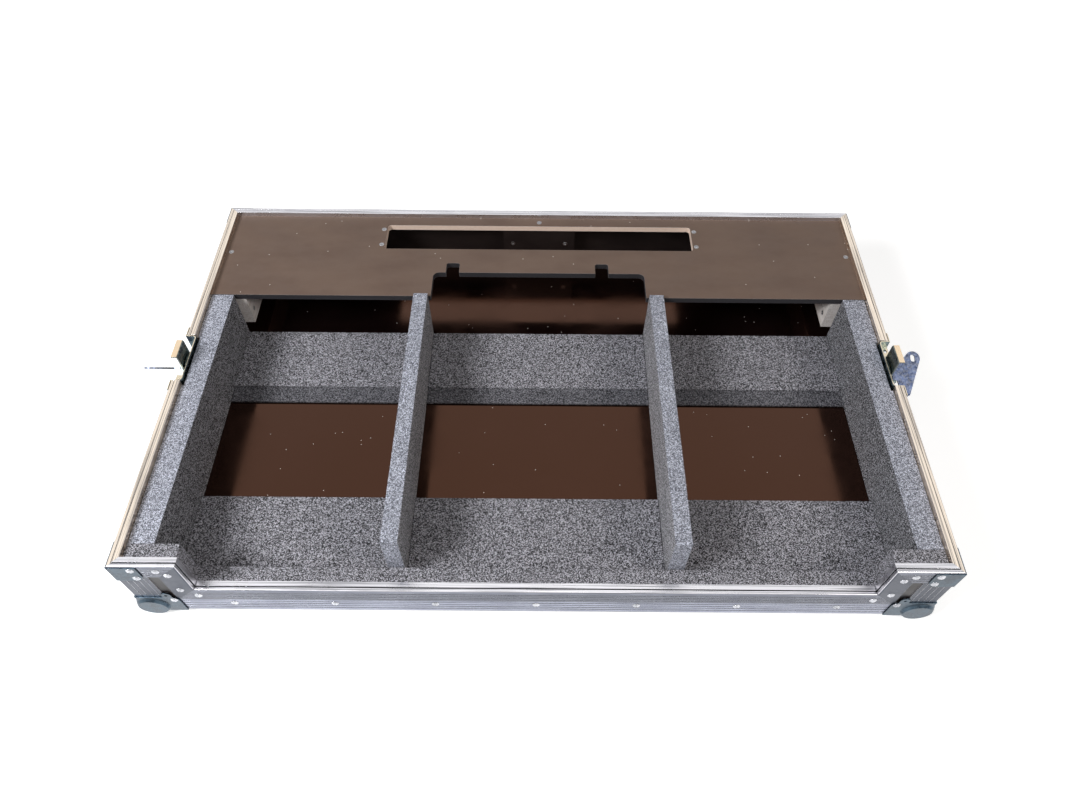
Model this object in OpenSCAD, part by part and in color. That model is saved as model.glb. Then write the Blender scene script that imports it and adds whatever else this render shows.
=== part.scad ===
// Open base of a flight case for a mixer and two players, with its lid taken off.
// Film-faced boards, aluminium edge rails, steel ball corners, foam bays and a rear shelf.
// The origin is on the ground under the middle of the base, +Z is up, the low front faces -Y.

/* [Overall] */
// Width over the edge rails
case_w = 980; // [950:1:1010]
// Depth over the edge rails
case_d = 616; // [596:1:640]
// Height of the rim above the lower edge of the bottom angles
case_h = 125; // [120:1:135]
// Height of the low front above the same edge
front_h = 60; // [58:1:66]
// Width of the high stretch at each end of the front
stub_w = 79; // [74:1:95]
// How far the rubber feet lift the lower edge off the ground
foot_drop = 8; // [6:0.5:12]

/* [Boards] */
// Thickness of the wall boards
board_t = 9.5; // [9:0.5:12]
// Thickness of the floor board
floor_t = 9.5; // [8:0.5:12]
// Height of the battens that carry the floor board
base_batten_h = 20; // [18:0.5:22]
// Width of those battens
base_batten_w = 48; // [44:1:56]
// Thickness of the rear shelf
shelf_t = 9; // [8:0.5:12]
// Depth of the rear shelf from front to back
shelf_d = 171.5; // [160:0.5:180]
// Drop from the rim to the top of the shelf and the side foam
shelf_drop = 7; // [6:0.5:10]

/* [Shelf openings] */
// Width of the cable slot
slot_w = 475; // [440:1:490]
// Size of the cable slot from front to back
slot_d = 53; // [45:1:58]
// Distance from the back of the slot to the inside of the rear wall
slot_back = 19; // [16:1:24]
// Width of the cut-out in the front edge
cutout_w = 316; // [290:1:316]
// Depth of that cut-out
cutout_d = 49; // [40:1:52]
// Width of the two cable notches behind it
cable_notch_w = 20; // [16:1:24]
// Depth of the cable notches
cable_notch_d = 20; // [14:1:22]

/* [Shelf supports] */
// Width of the side battens
batten_w = 47; // [40:1:52]
// Height of the side battens
batten_h = 53; // [40:1:60]
// Width of the block in the middle of the rear wall
block_w = 114; // [90:1:130]
// Height of that block
block_h = 56; // [45:1:62]
// Thickness of that block
block_t = 18; // [12:1:18]

/* [Edge rails] */
// Thickness of the rail metal
rail_t = 1.4; // [1.2:0.1:1.8]
// Height of a rail's outer flange
rail_flange = 28.5; // [24:0.5:28.5]
// Height of a rail's inner flange
rail_inner = 18; // [12:0.5:22]
// Height of the solid rim of a rail
rim_t = 4.2; // [3.6:0.1:5]
// Width of the outer band of the rim
band_w = 4.6; // [3.6:0.1:5.4]
// Leg of the bottom angles
base_flange = 31; // [28:0.5:31]
// Leg of the upright corner angles
corner_leg = 37; // [34:0.5:40]

/* [Foam] */
// Thickness of the side foam
side_foam_t = 32; // [26:0.5:34]
// Thickness of the foam inside the front
lining_t = 20; // [14:0.5:24]
// Thickness of the upright dividers
divider_t = 21; // [16:0.5:26]
// Distance between the middles of the two dividers
divider_pitch = 344; // [340:1:360]
// Thickness of the foam strips on the floor
ledge_t = 8; // [6:0.5:14]
// Depth of the front strip from front to back
front_ledge_d = 108; // [90:1:130]
// Depth of the rear strip from front to back
rear_ledge_d = 130; // [110:1:150]

/* [Latches] */
// Width of the latch dish's pocket
pocket_w = 77; // [74:0.5:84]
// Depth of the pocket below the outside of the rail
pocket_d = 12.6; // [12.4:0.1:14]
// Height of the pocket, down from the rim
pocket_h = 69; // [66:0.5:72]
// Drop from the rim to the middle of the turning drum
drum_drop = 25; // [24.5:0.5:28]
// Rise of the hook over half a turn of the wing
hook_travel = 8; // [6:0.5:8]
// How far the right wing has been turned to open
right_turn = 160; // [90:1:180]
// How far the left wing has been turned to open
left_turn = 128.5; // [90:0.5:180]

/* [Hidden] */
$fn = 48;
// Overrun of every cut
cut = 1;
// Slack between foam and what holds it
foam_slack = 0.3;
// Slack between pieces of metal edging that lie end to end
edge_slack = 0.5;

wall_t = board_t + 2 * rail_t;
floor_top = rail_t + base_batten_h + floor_t;
shelf_top = case_h - shelf_drop;
foam_top = shelf_top;
notch_half = case_w / 2 - stub_w;
inner_x = case_w / 2 - wall_t;
inner_y = case_d / 2 - wall_t;
board_in_x = case_w / 2 - rail_t - board_t;
board_in_y = case_d / 2 - rail_t - board_t;
shelf_front_y = inner_y - shelf_d;

// Rim profile
groove_w = 1.2;
groove_depth = 3;
band_drop = 0.8;
rim_round = 1.8;
flute_w = 1.7;
flute_depth = 0.4;
flute_count = 4;
flute_edge = 4.5;

// Blind rivets
rivet_head_r = 4.8;
rivet_head_h = 2.2;
rivet_r = 2;
rivet_slack = 0.05;
mandrel_r = 1;
mandrel_depth = 0.7;
rivet_pitch = 124.5;
base_rivet_z = 22;
rail_rivet_drop = 13;
low_rivet_drop = 16;
upright_rivet_in = 16.5;
upright_rivet_top = 24;
brace_rivet_in = 25.5;
brace_rivet_top = 9;
brace_rivet_gap = 19.5;
ball_rivet_in = 46;
ball_rivet_z = 33;

// Corner braces and ball corners
brace_t = 1.2;
brace_w = 33;
brace_h = 36;
brace_round = 12;
ball_leaf_t = 1.5;
ball_out = 4.5;
ball_in = 14;
ball_r = 25.5;
leaf_reach = 52;
leaf_h = 39;
leaf_round = 10;
ear_r = 6;
ear_in = 40;
ear_z = 45;
ear_hole_r = 2;

// Screws
screw_head_r = 3.6;
screw_head_h = 2.4;
screw_r = 1.8;
screw_slack = 0.05;
drive_r = 1.6;
drive_depth = 1;
shelf_screw_len = 30;
slot_screw_len = 7.5;
floor_screw_len = 24;
batten_screw_len = 54;
block_screw_len = 25;

// Feet
foot_r = 13;
foot_taper = 2;
foot_clear = 2;
foot_in = leaf_h + foot_r + foot_clear;
foot_bore_r = 5;
foot_bore_depth = 4;
foot_screw_len = 18;

// Shelf details
slot_round = 5;
cutout_round = 9;
notch_round = 4;
left_notch_share = 0.41;
right_notch_share = 0.30;
slot_screw_out = 5.5;
slot_screw_gap = 17;
side_screw_in = 7.5;
side_screw_back = 82;
rear_screw_back = 10;
batten_front = 2;
batten_screw_front = 13;
batten_screw_back = 30;
batten_screw_z = 17.5;
block_screw_in = 15;
block_screw_z = 27;
floor_screw_in = 41;

// Foam details
lining_drop = 6;
low_lining_drop = 2;
lining_side = 4;
ledge_step_d = 25;
ledge_step_drop = 4;
foam_relief_d = 3;
foam_relief_side = 4;

// Latch details, measured from the outside of the rail
sheet_t = 1.2;
dish_lap = 15;
dish_lap_low = 12;
pocket_z = case_h - pocket_h;
dish_top_drop = 1;
dish_round = 5;
dish_slack = 0.3;
latch_rivet_in = 6;
latch_rivet_top = 9;
latch_rivet_low = 6;
tab_w = 17;
tab_t = 2;
tab_drop = 13;
tab_hole_r = 3.2;
tab_hole_in = 7.5;
guide_h = 17;
guide_low = 2;
guide_t = 1.5;
guide_lip = 3;

plate_w = 30;
plate_t = 2;
plate_x = -8.6;
plate_low = 2.5;
plate_rise = 12;
plate_lip = 9;
plate_bend = 2.6;
plate_slack = 0.25;

shaft_r = 4;
shaft_slack = 0.1;
cam_t = 2.5;
cam_x = -12.2;
cam_min_r = 10;
cam_rim = 2.3;
follower_r = 2.5;
follower_slack = 0.2;
cam_r = cam_min_r + hook_travel + follower_r + follower_slack + cam_rim;
follower_head_r = 4;
follower_head_t = 1;
star_share = 0.55;
star_points = 5;
tail_r = 6;
tail_t = 1;
tail_gap = 0.2;

yoke_x = -4.6;
yoke_t = 2.6;
yoke_w = 8;
hinge_x = 2.9;
ear_gap = 20;
ear_t = 3;
ear_round = 4;
hinge_pin_r = 1.5;
hinge_slack = 0.05;
pin_head_r = 2.4;
pin_head_t = 1;

wing_t = 2.4;
knuckle_r = 2.8;
knuckle_slack = 0.2;
big_lobe = [-23.5, 34];
big_lobe_r = 10;
small_lobe = [27, 19];
small_lobe_r = 6;
wing_root = [4, 13];
wing_root_r = 5.5;
wing_hole_r = 3.2;
wing_hole_run = 2;

zinc = [0.62, 0.68, 0.72];
alu = [0.80, 0.82, 0.86];
film = [0.16, 0.13, 0.12];
foam_grey = [0.30, 0.30, 0.33];
timber = [0.70, 0.65, 0.60];

// Frames of reference

// Length of wall k: 0 is the front, 1 the right, 2 the rear and 3 the left
function wall_span(k) = k % 2 == 0 ? case_w : case_d;

// Everything is drawn above the lower edge of the bottom angles and lifted onto the feet
module lifted() {
    translate([0, 0, foot_drop]) children();
}

// Frame of wall k: x runs along its outside, y goes inwards and z is up
module on_wall(k) {
    rotate([0, 0, 90 * k])
        translate([0, -wall_span(k + 1) / 2, 0])
            children();
}

// Frame of a latch: x points out of the wall from the rail's face, z is measured from the rim
module on_latch(k) {
    rotate([0, 0, 180 * k])
        translate([case_w / 2, 0, case_h])
            children();
}

// Frame of a latch's drum, turned to open by an angle
module on_drum(turn) {
    translate([0, 0, -drum_drop]) rotate([-turn, 0, 0]) children();
}

// Small shapes

module block(low, high) {
    translate(low) cube(high - low);
}

// Rectangle with round corners, from two opposite corners
module round_rect(low, high, r) {
    translate(low + [r, 0]) square(high - low - [2 * r, 0]);
    translate(low + [0, r]) square(high - low - [0, 2 * r]);
    for (x = [low[0] + r, high[0] - r], y = [low[1] + r, high[1] - r])
        translate([x, y]) circle(r);
}

// Two discs and the strip between their outer tangents
module link(a, ra, b, rb) {
    d = norm(b - a);
    along = atan2(b[1] - a[1], b[0] - a[0]);
    lean = acos((ra - rb) / d);
    translate(a) circle(ra);
    translate(b) circle(rb);
    polygon([
        a + ra * [cos(along + lean), sin(along + lean)],
        b + rb * [cos(along + lean), sin(along + lean)],
        b + rb * [cos(along - lean), sin(along - lean)],
        a + ra * [cos(along - lean), sin(along - lean)]
    ]);
}

// Blind rivet that stands on z = 0 and reaches down by its grip
module rivet(grip) {
    dome_r = (pow(rivet_head_r, 2) + pow(rivet_head_h, 2)) / (2 * rivet_head_h);
    rotate_extrude() difference() {
        union() {
            intersection() {
                translate([0, rivet_head_h - dome_r]) circle(dome_r);
                square([rivet_head_r + cut, rivet_head_h + cut]);
            }
            translate([0, -grip]) square([rivet_r, grip + rivet_head_h / 2]);
        }
        translate([0, rivet_head_h - mandrel_depth]) square([mandrel_r, mandrel_depth + cut]);
        translate([-2 * dome_r, -2 * dome_r]) square([2 * dome_r, 4 * dome_r]);
    }
}

// Countersunk screw whose flat top lies on z = 0
module screw(len) {
    rotate_extrude() difference() {
        polygon([
            [0, 0], [screw_head_r, 0], [screw_r, -screw_head_h],
            [screw_r, -len + screw_r], [0, -len]
        ]);
        translate([-cut, -drive_depth]) square([drive_r + cut, drive_depth + cut]);
    }
}

module screw_hole(len) {
    rotate_extrude() polygon([
        [0, cut], [screw_head_r + screw_slack, cut], [screw_head_r + screw_slack, 0],
        [screw_r + screw_slack, -screw_head_h - screw_slack],
        [screw_r + screw_slack, -len - screw_slack], [0, -len - screw_slack]
    ]);
}

// Where the rivets of each wall go, as [x, z]

function base_row(k) = let (n = floor((wall_span(k) / 2 - 2 * ball_rivet_in) / rivet_pitch))
    [for (i = [-n : n]) [i * rivet_pitch, base_rivet_z]];

function rail_row(k) =
    k == 0 ? [for (s = [-1, 1]) [s * (notch_half + rail_flange - rivet_r), case_h - rail_rivet_drop]]
    : k == 2 ? let (n = floor((case_w / 2 - brace_w - rivet_head_r) / rivet_pitch))
        [for (i = [-n : n]) [i * rivet_pitch, case_h - rail_rivet_drop]]
    : [for (s = [-1, 1], i = [1, 2])
        [s * (i * rivet_pitch - rivet_pitch / 5), case_h - rail_rivet_drop]];

function upright_row() = [
    for (s = [-1, 1], z = [case_h - upright_rivet_top, front_h])
        [s * (notch_half + upright_rivet_in), z]];

function low_row() = [for (s = [-1, 1]) [s * notch_half, front_h - low_rivet_drop]];

function brace_row(k) = [
    for (s = [-1, 1], i = [0, 1])
        [s * (wall_span(k) / 2 - brace_rivet_in), case_h - brace_rivet_top - i * brace_rivet_gap]];

function ball_row(k) = [for (s = [-1, 1]) [s * (wall_span(k) / 2 - ball_rivet_in), ball_rivet_z]];

function latch_row(k) = k % 2 == 0 ? [] : [
    for (s = [-1, 1], z = [case_h - dish_top_drop - latch_rivet_top, pocket_z - dish_lap_low + latch_rivet_low])
        [s * (pocket_w / 2 + sheet_t + dish_lap - latch_rivet_in), z]];

function front_rows() = concat(upright_row(), low_row());

// Rivets at a list of places on the wall in use, with their heads raised by what lies under them
module rivets(places, raise) {
    for (p = places)
        translate([p[0], -raise, p[1]]) rotate([90, 0, 0]) rivet(rail_t + board_t + raise);
}

module rivet_holes(places) {
    for (p = places)
        translate([p[0], wall_t, p[1]]) rotate([90, 0, 0])
            cylinder(r = rivet_r + rivet_slack, h = wall_t + ball_out + cut);
}

// Boards

// A wall board in its wall's frame
module wall_board(half, low, high) {
    block([-half, rail_t, low], [half, rail_t + board_t, high]);
}

module front_panel() {
    color(film) lifted() on_wall(0) difference() {
        wall_board(board_in_x, rail_t, case_h - rim_t);
        block([-notch_half - rim_t, 0, front_h - rim_t], [notch_half + rim_t, wall_t, case_h]);
        rivet_holes(base_row(0));
        rivet_holes(rail_row(0));
        rivet_holes(front_rows());
        rivet_holes(brace_row(0));
        rivet_holes(ball_row(0));
    }
}

module rear_panel() {
    color(film) lifted() difference() {
        on_wall(2) difference() {
            wall_board(board_in_x, rail_t, case_h - rim_t);
            rivet_holes(base_row(2));
            rivet_holes(rail_row(2));
            rivet_holes(brace_row(2));
            rivet_holes(ball_row(2));
        }
        block_screw_holes();
    }
}

// The side boards run the full depth and are open at the top round the latch dish
module side_panel(k) {
    half = case_d / 2 - rail_t;
    open = pocket_w / 2 + sheet_t + dish_slack;
    color(film) lifted() difference() {
        on_wall(k) difference() {
            wall_board(half, rail_t, case_h - rim_t);
            block([-open, 0, pocket_z - sheet_t - dish_slack], [open, wall_t, case_h]);
            rivet_holes(base_row(k));
            rivet_holes(rail_row(k));
            rivet_holes(brace_row(k));
            rivet_holes(ball_row(k));
            rivet_holes(latch_row(k));
        }
        batten_screw_holes(2 - k);
    }
}

module right_panel() { side_panel(1); }
module left_panel() { side_panel(3); }

function floor_screw_places() = [
    for (s = [-1, 1], i = [-3, -1, 1, 3]) [i * rivet_pitch, s * (case_d / 2 - floor_screw_in)]];

module floor_panel() {
    color(film) lifted() difference() {
        block([-board_in_x, -board_in_y, floor_top - floor_t], [board_in_x, board_in_y, floor_top]);
        for (p = floor_screw_places())
            translate([p[0], p[1], floor_top]) screw_hole(floor_screw_len);
    }
}

module floor_battens() {
    long_y = board_in_y - base_batten_w;
    color(timber) lifted() difference() {
        union() {
            for (s = [-1, 1]) scale([1, s, 1])
                block([-board_in_x, long_y, rail_t], [board_in_x, board_in_y, rail_t + base_batten_h]);
            for (s = [-1, 1]) scale([s, 1, 1])
                block([board_in_x - base_batten_w, -long_y + edge_slack, rail_t],
                    [board_in_x, long_y - edge_slack, rail_t + base_batten_h]);
        }
        for (p = floor_screw_places())
            translate([p[0], p[1], floor_top]) screw_hole(floor_screw_len);
        for (p = foot_places())
            translate([p[0], p[1], rail_t]) rotate([180, 0, 0]) screw_hole(foot_screw_len);
    }
}

module slot_outline() {
    back = inner_y - slot_back;
    round_rect([-slot_w / 2, back - slot_d], [slot_w / 2, back], slot_round);
}

// Bay in the front edge of the shelf, with a cable notch at each side of its rear edge
module cutout_outline() {
    back = shelf_front_y + cutout_d;
    round_rect([-cutout_w / 2, shelf_front_y - 2 * cutout_round], [cutout_w / 2, back], cutout_round);
    for (x = [-left_notch_share * cutout_w, right_notch_share * cutout_w])
        round_rect([x - cable_notch_w / 2, back - 2 * notch_round],
            [x + cable_notch_w / 2, back + cable_notch_d], notch_round);
}

function slot_screw_places() = let (mid = inner_y - slot_back - slot_d / 2)
    [for (s = [-1, 1], t = [-1, 1]) [s * (slot_w / 2 + slot_screw_out), mid + t * slot_screw_gap]];

function shelf_screw_places() = [
    [-inner_x + side_screw_in, inner_y - side_screw_back],
    [inner_x - side_screw_in, inner_y - side_screw_back],
    [0, inner_y - rear_screw_back]];

module rear_shelf() {
    color(film) lifted() difference() {
        translate([0, 0, shelf_top - shelf_t]) linear_extrude(shelf_t) difference() {
            translate([-inner_x, shelf_front_y]) square([2 * inner_x, shelf_d]);
            slot_outline();
            cutout_outline();
        }
        for (p = shelf_screw_places())
            translate([p[0], p[1], shelf_top]) screw_hole(shelf_screw_len);
        for (p = slot_screw_places())
            translate([p[0], p[1], shelf_top]) screw_hole(slot_screw_len);
    }
}

// Places along y of the screws that hold a side batten
function batten_screw_ys() = [
    shelf_front_y + batten_front + batten_screw_front, board_in_y - batten_screw_back];

module batten_screw_holes(s) {
    for (y = batten_screw_ys()) scale([s, 1, 1])
        translate([board_in_x - batten_w, y, shelf_top - shelf_t - batten_h + batten_screw_z])
            rotate([0, -90, 0]) screw_hole(batten_screw_len);
}

module block_screw_holes() {
    for (x = block_screw_xs())
        translate([x, board_in_y - block_t, shelf_top - shelf_t - block_h + block_screw_z])
            rotate([90, 0, 0]) screw_hole(block_screw_len);
}

// Raw timber along the side wall under an end of the shelf, cut out round the rails' inner flanges
module shelf_batten(s) {
    top = shelf_top - shelf_t;
    color(timber) lifted() difference() {
        scale([s, 1, 1]) difference() {
            block([board_in_x - batten_w, shelf_front_y + batten_front, top - batten_h],
                [board_in_x, board_in_y, top]);
            block([inner_x, shelf_front_y, case_h - rail_inner], [board_in_x + cut, case_d, case_h]);
            block([0, inner_y, case_h - rail_inner], [case_w, board_in_y + cut, case_h]);
            translate([inner_x - side_screw_in, inner_y - side_screw_back, shelf_top])
                screw_hole(shelf_screw_len);
        }
        batten_screw_holes(s);
    }
}

module shelf_batten_left() { shelf_batten(-1); }
module shelf_batten_right() { shelf_batten(1); }

// Block on the rear wall that carries the middle of the shelf
module shelf_centre_block() {
    top = shelf_top - shelf_t;
    color(film) lifted() difference() {
        block([-block_w / 2, board_in_y - block_t, top - block_h], [block_w / 2, board_in_y, top]);
        block([-case_w, inner_y, case_h - rail_inner], [case_w, board_in_y + cut, case_h]);
        block_screw_holes();
        translate([0, inner_y - rear_screw_back, shelf_top]) screw_hole(shelf_screw_len);
    }
}

function block_screw_xs() = [for (s = [-1, 1]) s * (block_w / 2 - block_screw_in)];

// Foam

function lining_back() = -inner_y + foam_slack + lining_t;

// Foam on the inside of the front: high at both ends, low along the notch
module front_foam_lining() {
    half = inner_x - foam_slack;
    color(foam_grey) lifted() translate([0, -inner_y + foam_slack + lining_t, 0])
        rotate([90, 0, 0]) linear_extrude(lining_t) difference() {
            translate([-half, floor_top]) square([2 * half, case_h - lining_drop - floor_top]);
            translate([-notch_half - lining_side, front_h - low_lining_drop])
                square([2 * (notch_half + lining_side), case_h]);
        }
}

module side_foam(s) {
    out = inner_x - foam_slack;
    relief = pocket_w / 2 + foam_relief_side;
    color(foam_grey) lifted() scale([s, 1, 1]) difference() {
        block([out - side_foam_t, lining_back() + foam_slack, floor_top],
            [out, shelf_front_y - foam_slack, foam_top]);
        block([out - foam_relief_d, -relief, pocket_z - foam_relief_side], [out + cut, relief, case_h]);
    }
}

module side_foam_left() { side_foam(-1); }
module side_foam_right() { side_foam(1); }

module divider_foam(s) {
    mid = s * divider_pitch / 2;
    color(foam_grey) lifted()
        block([mid - divider_t / 2, lining_back() + foam_slack, floor_top],
            [mid + divider_t / 2, shelf_front_y - foam_slack, case_h]);
}

module divider_foam_left() { divider_foam(-1); }
module divider_foam_right() { divider_foam(1); }

// Left and right end of each bay on the floor
function bays() = let (side = inner_x - 2 * foam_slack - side_foam_t, near = divider_pitch / 2)
    [[-side, -near - divider_t / 2 - foam_slack],
     [-near + divider_t / 2 + foam_slack, near - divider_t / 2 - foam_slack],
     [near + divider_t / 2 + foam_slack, side]];

module front_ledge_foam() {
    front = lining_back() + foam_slack;
    color(foam_grey) lifted() for (b = bays())
        block([b[0], front, floor_top], [b[1], front + front_ledge_d, floor_top + ledge_t]);
}

// Rear strips, cut down along their front edge
module rear_ledge_foam() {
    back = shelf_front_y - batten_front;
    front = back - rear_ledge_d;
    color(foam_grey) lifted() for (b = bays()) difference() {
        block([b[0], front, floor_top], [b[1], back, floor_top + ledge_t]);
        block([b[0] - cut, front - cut, floor_top + ledge_t - ledge_step_drop],
            [b[1] + cut, front + ledge_step_d, case_h]);
    }
}

// Edge rails

// Section of a rail: x goes inwards from its outer face, y is up and 0 at the rim
module rail_section(fluted) {
    pitch = (rail_flange - rim_t - flute_edge) / flute_count;
    difference() {
        union() {
            translate([0, -rail_flange]) square([rail_t, rail_flange - band_drop]);
            translate([0, -rim_t]) square([band_w + groove_w, rim_t - band_drop]);
            translate([band_w + groove_w, -rim_t]) square([wall_t - band_w - groove_w, rim_t]);
            translate([wall_t - rail_t, -rail_inner]) square([rail_t, rail_inner]);
        }
        translate([band_w, -groove_depth]) square([groove_w, groove_depth + cut]);
        translate([-cut, -band_drop - rim_round]) difference() {
            square([rim_round + cut, rim_round + cut]);
            translate([rim_round + cut, 0]) circle(rim_round);
        }
        if (fluted) for (i = [0 : flute_count - 1])
            translate([-cut, -rim_t - flute_edge / 2 - (i + 0.5) * pitch - flute_w / 2])
                square([flute_depth + cut, flute_w]);
    }
}

// Straight rail along x between two places, with its rim at z = 0
module rail_run(from, to, fluted = true) {
    translate([from, 0, 0]) rotate([90, 0, 90]) linear_extrude(to - from) rail_section(fluted);
}

// Plan of a wall's edging, mitred at both ends
module mitred(k, low, high) {
    half = wall_span(k) / 2;
    translate([0, 0, low]) linear_extrude(high - low)
        polygon([[-half, 0], [half, 0], [half - wall_t, wall_t], [-half + wall_t, wall_t]]);
}

module top_rail(k, from, to) {
    intersection() {
        translate([0, 0, case_h]) rail_run(from, to);
        mitred(k, case_h - rail_flange - cut, case_h + cut);
    }
}

module rear_rail() {
    half = case_w / 2;
    color(alu) lifted() on_wall(2) difference() {
        top_rail(2, -half, half);
        rivet_holes(rail_row(2));
        rivet_holes(brace_row(2));
    }
}

// A side rail is in two lengths, with the latch dish between them
module side_rail(k) {
    half = case_d / 2;
    open = pocket_w / 2 + sheet_t + dish_slack;
    color(alu) lifted() on_wall(k) difference() {
        union() {
            top_rail(k, -half, -open);
            top_rail(k, open, half);
        }
        rivet_holes(rail_row(k));
        rivet_holes(brace_row(k));
        rivet_holes(latch_row(k));
    }
}

module right_rail() { side_rail(1); }
module left_rail() { side_rail(3); }

// Regions of the front rails seen from the front, for the right half
function low_region() = [
    [-notch_half, front_h], [notch_half, front_h],
    [notch_half + rail_flange, front_h - rail_flange],
    [-notch_half - rail_flange, front_h - rail_flange]];

function upright_region() = [
    [notch_half, front_h], [notch_half + rail_flange, front_h - rail_flange],
    [notch_half + rail_flange, case_h - rail_flange], [notch_half, case_h]];

function stub_region() = [
    [notch_half, case_h], [notch_half + rail_flange, case_h - rail_flange],
    [case_w / 2, case_h - rail_flange], [case_w / 2, case_h]];

module front_region(points) {
    translate([0, wall_t, 0]) rotate([90, 0, 0]) linear_extrude(wall_t) polygon(points);
}

module low_front_rail() {
    reach = notch_half + rail_flange;
    color(alu) lifted() on_wall(0) difference() {
        intersection() {
            translate([0, 0, front_h]) rail_run(-reach, reach);
            front_region(low_region());
        }
        rivet_holes(low_row());
    }
}

// Upright rail at an end of the low front, smooth outside
module notch_rail(s) {
    color(alu) lifted() on_wall(0) scale([s, 1, 1]) difference() {
        intersection() {
            translate([notch_half, 0, 0]) rotate([0, -90, 0])
                rail_run(front_h - rail_flange, case_h, false);
            front_region(upright_region());
        }
        rivet_holes(upright_row());
    }
}

module notch_rail_left() { notch_rail(-1); }
module notch_rail_right() { notch_rail(1); }

module front_rail(s) {
    color(alu) lifted() on_wall(0) scale([s, 1, 1]) difference() {
        intersection() {
            top_rail(0, notch_half, case_w / 2);
            front_region(stub_region());
        }
        rivet_holes(rail_row(0));
        rivet_holes(brace_row(0));
    }
}

module front_rail_left() { front_rail(-1); }
module front_rail_right() { front_rail(1); }

// Plain angle: two legs from a rounded outer corner, fluted outside on the second leg
module angle_section(leg_a, leg_b) {
    pitch = leg_b / (flute_count + 1);
    difference() {
        union() {
            square([leg_a, rail_t]);
            square([rail_t, leg_b]);
        }
        translate([-cut, -cut]) difference() {
            square([rail_t + cut, rail_t + cut]);
            translate([rail_t + cut, rail_t + cut]) circle(rail_t);
        }
        for (i = [1 : flute_count])
            translate([-cut, i * pitch + flute_edge / 2 - flute_w / 2])
                square([flute_depth + cut, flute_w]);
    }
}

// Angle round the lower edge of wall k, mitred with its neighbours
module bottom_angle(k) {
    half = wall_span(k) / 2;
    color(alu) lifted() on_wall(k) difference() {
        intersection() {
            translate([-half, 0, 0]) rotate([90, 0, 90]) linear_extrude(2 * half)
                angle_section(base_flange, base_flange);
            linear_extrude(base_flange) polygon([
                [-half, 0], [half, 0],
                [half - base_flange, base_flange], [-half + base_flange, base_flange]]);
        }
        rivet_holes(base_row(k));
        rivet_holes(ball_row(k));
    }
}

module bottom_angle_front() { bottom_angle(0); }
module bottom_angle_right() { bottom_angle(1); }
module bottom_angle_rear() { bottom_angle(2); }
module bottom_angle_left() { bottom_angle(3); }

// Corners are numbered by the wall whose right-hand end they close

module at_corner(k) {
    on_wall(k) translate([wall_span(k) / 2, 0, 0]) children();
}

module corner_holes(k) {
    on_wall(k) {
        rivet_holes(brace_row(k));
        rivet_holes(ball_row(k));
    }
    on_wall(k + 1) {
        rivet_holes(brace_row(k + 1));
        rivet_holes(ball_row(k + 1));
    }
}

// Upright angle between the bottom angle and the top rail
module corner_angle(k) {
    low = base_flange + edge_slack;
    high = case_h - rail_flange - edge_slack;
    color(alu) lifted() difference() {
        at_corner(k) translate([0, 0, low]) linear_extrude(high - low) corner_section();
        corner_holes(k % 4);
    }
}

module corner_section() {
    pitch = corner_leg / (flute_count + 1);
    difference() {
        union() {
            translate([-corner_leg, 0]) square([corner_leg, rail_t]);
            translate([-rail_t, 0]) square([rail_t, corner_leg]);
        }
        translate([-rail_t, -cut]) difference() {
            square([rail_t + cut, rail_t + cut]);
            translate([0, rail_t + cut]) circle(rail_t);
        }
        for (i = [1 : flute_count]) {
            translate([-i * pitch - flute_edge / 2 - flute_w / 2, -cut])
                square([flute_w, flute_depth + cut]);
            translate([-flute_depth, i * pitch + flute_edge / 2 - flute_w / 2])
                square([flute_depth + cut, flute_w]);
        }
    }
}

module corner_angle_front_right() { corner_angle(0); }
module corner_angle_rear_right() { corner_angle(1); }
module corner_angle_rear_left() { corner_angle(2); }
module corner_angle_front_left() { corner_angle(3); }

// One face of a corner brace, from the corner's edge, with a round lower inner corner
module brace_leaf() {
    difference() {
        translate([-brace_w, case_h - brace_h]) square([brace_w, brace_h - band_drop - rim_round]);
        translate([-brace_w, case_h - brace_h]) difference() {
            translate([-cut, -cut]) square(brace_round + cut);
            translate([brace_round, brace_round]) circle(brace_round);
        }
    }
}

// Folded steel brace over the joint of the rails at a top corner
module corner_brace(k) {
    difference() {
        at_corner(k) {
            rotate([90, 0, 0]) linear_extrude(brace_t) brace_leaf();
            translate([brace_t, 0, 0]) rotate([90, 0, 90]) mirror([1, 0, 0])
                translate([0, 0, -brace_t]) linear_extrude(brace_t) brace_leaf();
            translate([0, 0, case_h - brace_h]) intersection() {
                cylinder(r = brace_t, h = brace_h - band_drop - rim_round);
                translate([0, -brace_t, 0]) cube([brace_t, brace_t, brace_h]);
            }
        }
        corner_holes(k);
    }
}

module corner_braces() {
    color(zinc) lifted() for (k = [0 : 3]) corner_brace(k);
}

// One face of a ball corner: a low plate with a small ear that holds a spare hole
module ball_leaf() {
    difference() {
        union() {
            difference() {
                translate([-leaf_reach, 0]) square([leaf_reach, leaf_h]);
                translate([-leaf_reach, leaf_h - leaf_round]) difference() {
                    translate([-cut, 0]) square([leaf_round + cut, leaf_round + cut]);
                    translate([leaf_round, 0]) circle(leaf_round);
                }
            }
            translate([-ear_in, ear_z]) circle(ear_r);
            translate([-ear_in - ear_r, leaf_h - leaf_round]) square([2 * ear_r, leaf_round + ear_r]);
        }
        translate([-ear_in, ear_z]) circle(ear_hole_r);
    }
}

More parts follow.
